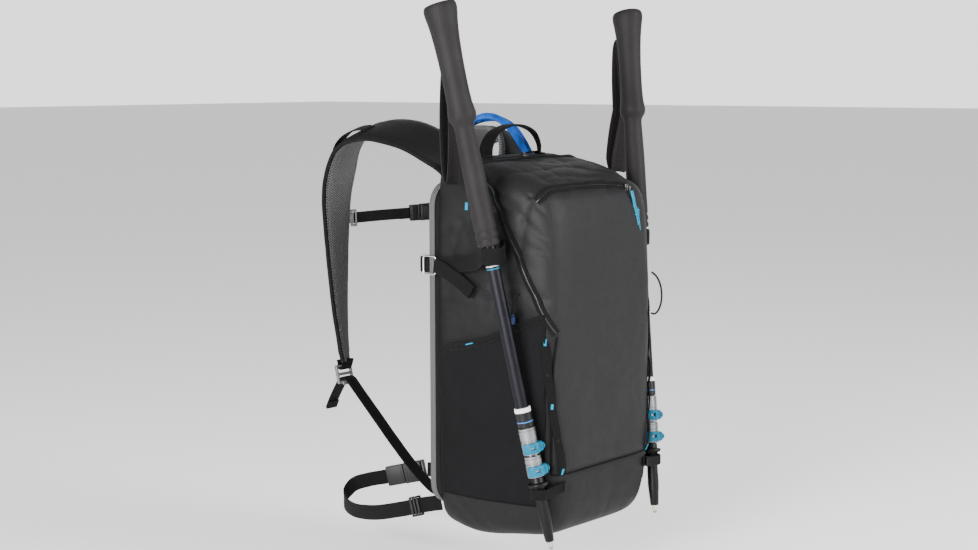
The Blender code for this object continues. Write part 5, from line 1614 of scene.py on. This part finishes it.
def make_buckle(label, here, start, end, width, thick, finishes, bodies):
    """Side-release buckle along X. The prongs of its male half lie between the female half's two plates."""
    half, rise = width / 2 + 0.0035, thick / 2
    shoulder = start + (end - start) * 0.45
    reach = shoulder + (end - start) * 0.25
    male = [((shoulder - 0.0034, -rise, -half), (shoulder, rise, half))]
    male.append(((shoulder - 0.001, -rise * 0.30, -0.0012), (reach + 0.001, rise * 0.30, 0.0012)))
    for s in (-1, 1):
        bar, rail, prong, catch = s * rise * 0.62, s * (half - 0.0011), s * half * 0.72, s * (half - 0.0016)
        plate = sorted((s * rise * 0.40, s * rise * 0.95))
        male.append(((start, bar - rise * 0.22, -half), (start + 0.0030, bar + rise * 0.22, half)))
        male.append(((start, -rise * 0.8, rail - 0.0011), (shoulder, rise * 0.8, rail + 0.0011)))
        male.append(((start + 0.0020, plate[0], -half), (shoulder, plate[1], half)))
        male.append(((shoulder - 0.001, -rise * 0.36, prong - 0.0013), (reach, rise * 0.36, prong + 0.0013)))
        male.append(((reach - 0.0045, -rise * 0.40, catch - 0.0016), (reach, rise * 0.40, catch + 0.0016)))
    mesh = blocks(label + "_male", male, here, 0.0009)
    piece(label + "_buckle_prongs", mesh, finishes[0], bodies[0], (label + "_buckle_male",))

    low, high = shoulder + 0.0005, end
    female = []
    for s in (-1, 1):
        plate = sorted((s * rise * 0.52, s * (rise + 0.0006)))
        female.append(((low, plate[0], -half - 0.0004), (high - 0.0050, plate[1], half + 0.0004)))
        wall = sorted((s * (half - 0.0012), s * (half + 0.0008)))
        female.append(((low, -rise * 0.9, wall[0]), (low + (high - low) * 0.16, rise * 0.9, wall[1])))
        female.append(((low + (high - low) * 0.60, -rise * 0.9, wall[0]), (high, rise * 0.9, wall[1])))
    female.append(((high - 0.0028, -rise * 0.8, -half), (high, rise * 0.8, half)))
    female.append(((high - 0.0090, -rise * 0.9, -half), (high - 0.0066, rise * 0.9, half)))
    for k in range(4):
        x = low + (high - low) * (0.14 + 0.13 * k)
        for rib in (-(rise + 0.0004), rise + 0.0004):
            female.append(((x - 0.0006, rib - 0.0005, -half * 0.74), (x + 0.0006, rib + 0.0005, half * 0.74)))
    mesh = blocks(label + "_female", female, here, 0.0009)
    piece(label + "_buckle_socket", mesh, finishes[1], bodies[1], (label + "_buckle_female",))


def make_sternum_strap(paints):
    here = axes_matrix(STERNUM_LEFT, STERNUM_RIGHT - STERNUM_LEFT)
    length = (STERNUM_RIGHT - STERNUM_LEFT).length
    for side, low, high in ((LEFT, 0.0, 0.008), (RIGHT, length - 0.008, length)):
        boxes = [((low, -0.0040, -0.0115), (low + 0.0022, 0.0040, 0.0115))]
        boxes.append(((high - 0.0022, -0.0034, -0.0115), (high, 0.0034, 0.0115)))
        boxes += [((low, -0.0036, s * 0.0100 - 0.0015), (high, 0.0036, s * 0.0100 + 0.0015)) for s in (-1, 1)]
        grasp = (low - 0.0035, low + 0.0030) if side == LEFT else (high - 0.0030, high + 0.0035)
        boxes.append(((grasp[0], -0.0052, -0.0070), (grasp[1], -0.0026, 0.0070)))
        mesh = blocks("slider", boxes, here, 0.0010)
        name = "sternum_slider_" + SIDE_NAMES[side]
        piece("sternum_clip_" + SIDE_NAMES[side], mesh, paints["plastic"], "sternum", (name,))
    start = length - 0.041
    run = np.linspace(0.0040, start + 0.0012, 32)
    path = [here @ Vector((x, 0.0004 * math.sin(x * 60), 0.0004 * math.sin(x * 34))) for x in run]
    across = here.to_3x3() @ Vector((0, 0, 1))
    webbing("sternum_strap", path, across, 0.0150, paints["narrow"], "sternum", replaces=("sternum_webbing",))
    finishes = (paints["black_plastic"], paints["black_plastic"])
    make_buckle("sternum", here, start, length - 0.0084, 0.015, 0.0080, finishes, ("sternum_male", "sternum"))
    fold = [here @ Vector((x, -0.0017, 0)) for x in np.linspace(start - 0.016, start - 0.001, 8)]
    webbing("sternum_strap_fold", fold, across, 0.0150, paints["narrow"], "sternum_male")


def make_hip_belt(paints):
    start, end = Vector(HIP_LEFT[-1]), Vector(HIP_RIGHT[0])
    heading = (end - start).normalized()
    path = evened(smooth_path(HIP_LEFT, 8) + [start + heading * d for d in (0.0035, 0.0065, 0.0095)], 0.0028)
    webbing("hip_webbing_left", path, (0, 0, 1), 0.020, paints["webbing"], "pack", wave=0.0005,
            replaces=("hip_belt_left",))
    path = evened(smooth_path(HIP_RIGHT, 8), 0.0028)
    webbing("hip_webbing_right", path, (0, 0, 1), 0.020, paints["webbing"], "pack",
            replaces=("hip_belt_right",))
    here = axes_matrix(start, heading)
    finishes = (paints["mid_plastic"], paints["mid_plastic"])
    reach = (end - start).length - 0.0025
    make_buckle("hip", here, 0.004, reach, 0.020, 0.0100, finishes, ("hip_male", "pack"))
    first, second = Vector(HIP_LEFT[1]), Vector(HIP_LEFT[2])
    here = axes_matrix(first, second - first)
    boxes = [((0.004, -0.0034, s * 0.0118 - 0.0013), (0.020, 0.0034, s * 0.0118 + 0.0013)) for s in (-1, 1)]
    for x in (0.0058, 0.0182):
        for y in (-0.0031, 0.0031):
            boxes.append(((x - 0.0018, y - 0.0010, -0.0130), (x + 0.0018, y + 0.0010, 0.0130)))
    boxes.append(((0.0105, 0.0022, -0.0125), (0.0135, 0.0040, 0.0125)))
    mesh = blocks("tri_glide", boxes, here, 0.0009)
    piece("hip_tri_glide", mesh, paints["mid_plastic"], "hip_slider", ("hip_slider",))


def make_haul_loop(paints):
    half = 0.055
    knots = (
        (-half, -0.0440, PACK_TOP - 0.0030), (-half * 0.97, -0.0440, 0.3700), (-half * 0.72, -0.0440, 0.3860),
        (-half * 0.25, -0.0440, 0.3945), (half * 0.25, -0.0440, 0.3945), (half * 0.72, -0.0440, 0.3860),
        (half * 0.97, -0.0440, 0.3700), (half, -0.0440, PACK_TOP - 0.0030),
    )
    path = evened(smooth_path(knots, 8), 0.0025)
    count = len(path)
    across = []
    for i in range(count):
        turn = math.radians(14 - 58 * (i / (count - 1)) ** 1.3)
        across.append(Vector((-math.sin(turn), math.cos(turn), 0)))
    webbing("haul_webbing", path, across, 0.0190, paints["webbing"], "pack", 0.0022, wave=0.0008,
            replaces=("haul_loop",))
    for side in (LEFT, RIGHT):
        foot = Vector((side * half, -0.0440, PACK_TOP - 0.0010))
        bar = [((-0.0022, -0.0085, -0.0010), (0.0022, 0.0085, 0.0016))]
        mesh = blocks("tack", bar, Matrix.Translation(foot), 0.0006)
        piece("haul_tack_" + SIDE_NAMES[side], mesh, paints["thread"], "pack")


# ---------------------------------------------------------------- zip sliders and labels

FRONT_PULL = (
    (0.0610, -0.1985, 0.3130), (0.0640, -0.1990, 0.3040), (0.0680, -0.1985, 0.2940),
    (0.0716, -0.1990, 0.2860), (0.0738, -0.1998, 0.2770), (0.0756, -0.2000, 0.2690),
)
FRONT_SLIDER = (0.0610, 0.3170)  # x, z
PULL_DRAWN_AT = -0.1890  # the face's y that FRONT_PULL was drawn in front of


def make_zip_sliders(surface, paints):
    x, z = FRONT_SLIDER
    face = surface.front(x, z).y
    here = Matrix.Translation((x, face, z))
    boxes = [((-0.0038, -0.0030, -0.0050), (0.0038, -0.0004, 0.0050))]
    boxes.append(((-0.0030, -0.0050, -0.0040), (0.0030, -0.0026, 0.0030)))
    boxes.append(((-0.0011, -0.0078, -0.0050), (0.0011, -0.0044, 0.0022)))
    mesh = blocks("slider", boxes, here, 0.0007)
    slider = "front_zip_slider"
    piece("pocket_zip_slider", mesh, paints["zip_metal"], slider, (slider,))
    lead = Vector((0, face - PULL_DRAWN_AT, 0))
    ends = (("a", -0.0013, 0.0), ("b", 0.0013, -0.0035))
    for label, offset, drop in ends:
        knots = [Vector(p) + lead + Vector((offset, 0, 0)) for p in FRONT_PULL[:3]]
        for k, p in enumerate(FRONT_PULL[3:]):
            knots.append(Vector(p) + lead + Vector((offset * 1.5, 0, drop * k)))
        route = smooth_path(knots, 6)
        body, node = "front_zip_pull", ("front_zip_pull",) if label == "a" else ()
        name = "zip_pull_strand_" + label
        cord = curve_cord(name, route, 0.00125, paints["cyan_cord"], body, node)
    knot = Vector(FRONT_PULL[3]) + lead
    points = []
    for k in range(46):
        turn = 2 * math.pi * k / 15
        height = 0.0044 - 0.0088 * k / 45
        points.append(knot + Vector((0.0029 * math.cos(turn), 0.0022 * math.sin(turn), height)))
    tube("zip_pull_knot", points, 0.0013, paints["cyan_cord"], "front_zip_pull", sides=8)
    here = Matrix.Translation((0, ZIP_TOP_Y, surface.top(0, ZIP_TOP_Y).z + 0.0006))
    boxes = [((-0.0050, -0.0042, -0.0010), (0.0050, 0.0026, 0.0026))]
    boxes.append(((-0.0040, -0.0028, 0.0024), (0.0036, 0.0028, 0.0042)))
    boxes.append(((-0.0018, -0.0012, 0.0038), (0.0030, 0.0012, 0.0056)))
    mesh = blocks("slider", boxes, here, 0.0007)
    piece("main_zip_runner", mesh, paints["zip_metal"], "main_zip_slider", ("main_zip_slider",))


def make_labels(surface, paints):
    place = surface.side(LEFT, -0.0690, 0.2990, 0.0)
    here = axes_matrix(place, (0, -1, -0.05))
    mesh = blocks("tab", [((-0.0022, -0.0010, -0.0048), (0.0022, 0.0022, 0.0048))], here, 0.0004)
    piece("side_tab", mesh, paints["cyan_thread"], "pack")


# ---------------------------------------------------------------- poles

GRIP_PROFILE = (
    (0.0118, 0.3790), (0.0130, 0.3795), (0.0136, 0.3820), (0.0133, 0.3845), (0.0124, 0.3865),
    (0.0124, 0.3878), (0.0134, 0.3895), (0.0137, 0.3915), (0.0133, 0.3940), (0.0125, 0.3957),
    (0.0125, 0.3970), (0.0133, 0.3990), (0.0135, 0.4020), (0.0133, 0.4120), (0.0132, 0.4300),
    (0.0132, 0.4500), (0.0131, 0.4700), (0.0127, 0.4900), (0.0122, 0.5080), (0.0119, 0.5180),
    (0.0121, 0.5230), (0.0132, 0.5268), (0.0158, 0.5305), (0.0170, 0.5345), (0.0171, 0.5390),
    (0.0163, 0.5440), (0.0153, 0.5510), (0.0147, 0.5640), (0.0146, 0.5800), (0.0149, 0.6020),
    (0.0159, 0.6240), (0.0170, 0.6380), (0.0184, 0.6500), (0.0197, 0.6580), (0.0203, 0.6640),
    (0.0200, 0.6680), (0.0188, 0.6712), (0.0168, 0.6722), (0.0140, 0.6706), (0.0080, 0.6688),
    (0.0000, 0.6684),
)


def pole_matrix(side):
    """Z runs up the pole from its tip and X points to the front of the pack."""
    up = Vector((POLE_LEAN.x * -side, POLE_LEAN.y, POLE_LEAN.z)).normalized()
    forward = (Vector((0, -1, 0)) + up * up.y).normalized()
    place = Vector((POLE_TIP.x * -side, POLE_TIP.y, POLE_TIP.z))
    return Matrix.Translation(place) @ Matrix((forward, up.cross(forward), up)).transposed().to_4x4()


def joined(name, meshes):
    """Several meshes with the same paints as one."""
    whole = bmesh.new()
    for part in meshes:
        whole.from_mesh(part)
        bpy.data.meshes.remove(part)
    mesh = bpy.data.meshes.new(name)
    whole.to_mesh(mesh)
    whole.free()
    mesh.shade_smooth()
    mesh.set_sharp_from_angle(angle=math.radians(40))
    return mesh


def make_lever(label, name, base, here, paints):
    """A cam lever that hugs its sleeve: two bands with a window between, a thick cam end and a thumb lug."""
    inner = COLLAR_RADIUS + 0.0005
    low, high = base + 0.002, base + 0.002 + LEVER_HEIGHT

    def arc(first, last, z_low, z_high, thick, lift=0.0):
        steps = max(4, round(abs(last - first) / 7))
        radius = inner + thick / 2 + lift
        path = []
        for k in range(steps + 1):
            turn = LEVER_START - math.radians(first + (last - first) * k / steps)
            path.append(Vector((radius * math.cos(turn), radius * math.sin(turn), (z_low + z_high) / 2)))
        return swept("arc", path, (0, 0, 1), lambda i: flat_section(z_high - z_low, thick, 0.0002))

    spread = math.degrees(LEVER_SPAN) - 30
    parts = [arc(0, spread, low, low + 0.0049, 0.0021), arc(0, spread, high - 0.0049, high, 0.0021)]
    parts.append(arc(0, 58, low, high, 0.0026))
    parts.append(arc(0, 20, low + 0.0004, high - 0.0004, 0.0046))
    parts.append(arc(spread - 46, spread, low, high, 0.0022))
    parts.append(arc(-3, 7, low + 0.0022, high - 0.0022, 0.0068))
    mesh = joined("lever", parts)
    mesh.transform(here)
    node = f"lever_{label}_{name}"
    piece(f"cam_{label}_{name}", mesh, paints["cyan"], node, (node,))


def make_pole(side, paints):
    name = SIDE_NAMES[side]
    here = pole_matrix(side)
    socket = LOWER_RADIUS + 0.0004
    profile = [(0, 0.0), (0.0016, 0.0002), (0.0023, 0.0010), (0.0025, 0.0034), (0.0030, 0.0036)]
    profile += [(0.0036, 0.0100), (0.0050, 0.0104), (0.0054, 0.0116), (0.0072, 0.0360), (0.0073, 0.0400)]
    profile.append((0.0069, 0.0640))
    profile += [(0.0070, 0.0770), (0.0080, 0.0790), (0.0118, 0.0808), (0.0123, 0.0815), (0.0123, 0.0838)]
    profile += [(0.0118, 0.0845), (0.0084, 0.0852), (0.0079, 0.0860), (0.0079, 0.0908), (0.0075, 0.0915)]
    profile += [(socket, 0.0915), (socket, 0.0600), (0, 0.0600)]
    marks = [1, 1, 1, 2, 2, 2] + [0] * (len(profile) - 7)

    def finned(angle, radius, z):
        groove = 0.0006 if 0.042 < z < 0.078 and math.cos(angle * 4) > 0.55 else 0.0
        return radius - groove, z

    mesh = turned_mesh("tip", profile, here, 48, marks, finned)
    finish = [paints["tip"], paints["carbide"], paints["ivory"]]
    piece("tip_cone_" + name, mesh, finish, "pole_" + name, ("pole_tip_" + name,))
    bodies = {"lower": "pole_" + name, "middle": "pole_middle_" + name, "upper": "pole_upper_" + name}

    inside = LOWER_RADIUS - 0.0009
    profile = [(inside, 0.0604), (LOWER_RADIUS, 0.0604), (LOWER_RADIUS, 0.4396), (inside, 0.4396)]
    mesh = turned_mesh("tube", profile, here, 32)
    node = ("lower_shaft_" + name,)
    piece("lower_tube_" + name, mesh, paints["shaft"], bodies["lower"], node)
    inside = MIDDLE_RADIUS - 0.0009
    profile = [(inside, 0.0924), (MIDDLE_RADIUS, 0.0924), (MIDDLE_RADIUS, 0.4996), (inside, 0.4996)]
    mesh = turned_mesh("tube", profile, here, 32)
    node = ("middle_shaft_" + name,)
    piece("middle_tube_" + name, mesh, paints["silver"], bodies["middle"], node)

    inside, collar = UPPER_RADIUS - 0.0009, UPPER_RADIUS + 0.0018
    base, top = UPPER_CLAMP[1] + 0.0006, COLLAR_TOP
    profile = [(inside, 0.1208), (UPPER_RADIUS, 0.1208), (UPPER_RADIUS, base), (collar - 0.0004, base)]
    profile += [(collar, base + 0.0004), (collar, 0.1610), (collar, 0.1622), (collar, 0.1735)]
    profile += [(collar, top - 0.0004), (collar - 0.0004, top), (UPPER_RADIUS, top), (UPPER_RADIUS, 0.3500)]
    profile += [(UPPER_RADIUS, z) for z in (0.3515, 0.3535, 0.3548, 0.5980)] + [(inside, 0.5980)]
    marks = [0, 0, 0, 1, 1, 2, 1, 3, 3, 3, 0, 4, 0, 3, 0, 0, 0]
    mesh = turned_mesh("tube", profile, here, 40, marks)
    finish = [paints["shaft"], paints["ink"], paints["blue_ink"], paints["white"], paints["cyan"]]
    piece("upper_tube_" + name, mesh, finish, bodies["upper"], ("upper_shaft_" + name,))

    for label, (low, high), bore, section in (
        ("lower", LOWER_CLAMP, MIDDLE_RADIUS + 0.0004, "middle"),
        ("upper", UPPER_CLAMP, UPPER_RADIUS + 0.0004, "upper"),
    ):
        r = COLLAR_RADIUS
        profile = [(bore, low), (r - 0.0010, low), (r, low + 0.0010), (r, low + 0.0170)]
        profile += [(r - 0.0005, low + 0.0173), (r - 0.0005, low + 0.0181), (r, low + 0.0184)]
        profile += [(r, high - 0.0040), (r - 0.0004, high - 0.0037), (r - 0.0004, high - 0.0031)]
        profile.append((r, high - 0.0028))
        profile += [(r, high - 0.0010), (r - 0.0010, high), (bore, high)]
        mesh = turned_mesh("sleeve", profile, here, 48)
        body, node = f"pole_{section}_{name}", f"clamp_{label}_{name}"
        piece(f"sleeve_{label}_{name}", mesh, paints["silver"], body, (node,))
        make_lever(label, name, low, here, paints)

    bore = UPPER_RADIUS + 0.0006

    def headed(angle, radius, z):
        share = min(1.0, max(0.0, (z - 0.640) / 0.030))
        wide = 1 + 0.05 * math.cos(angle) * min(1.0, max(0.0, (z - 0.525) / 0.012))
        return radius * wide, z - share * (0.0020 - 0.0020 * math.cos(angle))

    profile = [(0, 0.6000), (bore, 0.6000), (bore, 0.3790)] + list(GRIP_PROFILE)
    mesh = turned_mesh("grip", profile, here, 56, shape=headed)
    piece("grip_foam_" + name, mesh, paints["grip"], bodies["upper"], ("grip_" + name,))
    make_wrist_strap(side, paints, bodies["upper"])


HANG_DIRECTIONS = {LEFT: (0.77, 0.63, 0.0), RIGHT: (0.25, 0.97, 0.0)}
WRIST_ACROSS = {LEFT: (1, 0, 0), RIGHT: (0.93, -0.37, 0)}
WRIST_REACH = {LEFT: 0.0240, RIGHT: 0.0160}
WRIST_SHIFT = {LEFT: (0.0040, -0.0049, 0.0), RIGHT: (0.0, 0.0, 0.0)}
WRIST_DROPS = (0.0, 0.09, 0.155)
WRIST_SWING = {LEFT: (0.0, 0.0, 0.0), RIGHT: (-0.0040, -0.0110, 0.0020)}  # to the image's left, at each depth


def make_wrist_strap(side, paints, body):
    """A webbing loop that hangs plumb behind the grip's head, towards the pack."""
    inward = Vector(HANG_DIRECTIONS[side])
    top = pole_point(side, 0.628) + inward * WRIST_REACH[side] + Vector(WRIST_SHIFT[side])
    drops = ((0.0000, 0.0010, 0.006), (0.0035, 0.0040, -0.012), (0.0045, 0.0080, -0.060))
    drops += ((0.0045, 0.0090, -0.110), (0.0020, 0.0060, -0.155))
    outer = [top + inward * a + Vector((0, b, c)) for a, b, c in drops]
    inner = [top + inward * a + Vector((0, -b * 0.5, c - 0.002)) for a, b, c in drops[1:]]
    path = smooth_path(outer + [top + Vector((0, 0.0010, -0.172))] + inner[::-1] + outer[:1], 7)[:-1]
    path = [p + IMAGE_LEFT * float(np.interp(top.z - p.z, WRIST_DROPS, WRIST_SWING[side])) for p in path]
    name, paint = SIDE_NAMES[side], paints["wrist"]
    webbing("wrist_webbing_" + name, path, WRIST_ACROSS[side], 0.0250, paint, body, closed=True,
            replaces=("wrist_strap_" + name,))
    anchor = [pole_point(side, 0.6300) + inward * 0.0120]
    anchor += [top + Vector((0, 0, 0.0050)), top + Vector((0, 0, -0.0060))]
    webbing("wrist_anchor_" + name, smooth_path(anchor, 4), (1, 0, 0), 0.0150, paint, body)


# ---------------------------------------------------------------- run


make_camera()
make_stage()
paints = make_paints()
surface, zip_run, seam_run = make_bag(paints)
make_main_zip(zip_run, paints)
make_front_seam(seam_run, paints)
make_front_pocket(surface, paints)
make_water_system(paints)
make_back(paints)
make_haul_loop(paints)
make_sternum_strap(paints)
make_hip_belt(paints)
make_zip_sliders(surface, paints)
make_elastic_loops(paints)
make_labels(surface, paints)
for side in (LEFT, RIGHT):
    make_shoulder_strap(side, surface, paints)
    make_compression(side, surface, paints)
    make_pocket(side, surface, paints)
    make_pole_loop(side, surface, paints)
    make_daisy_chain(side, surface, paints)
    make_pole(side, paints)
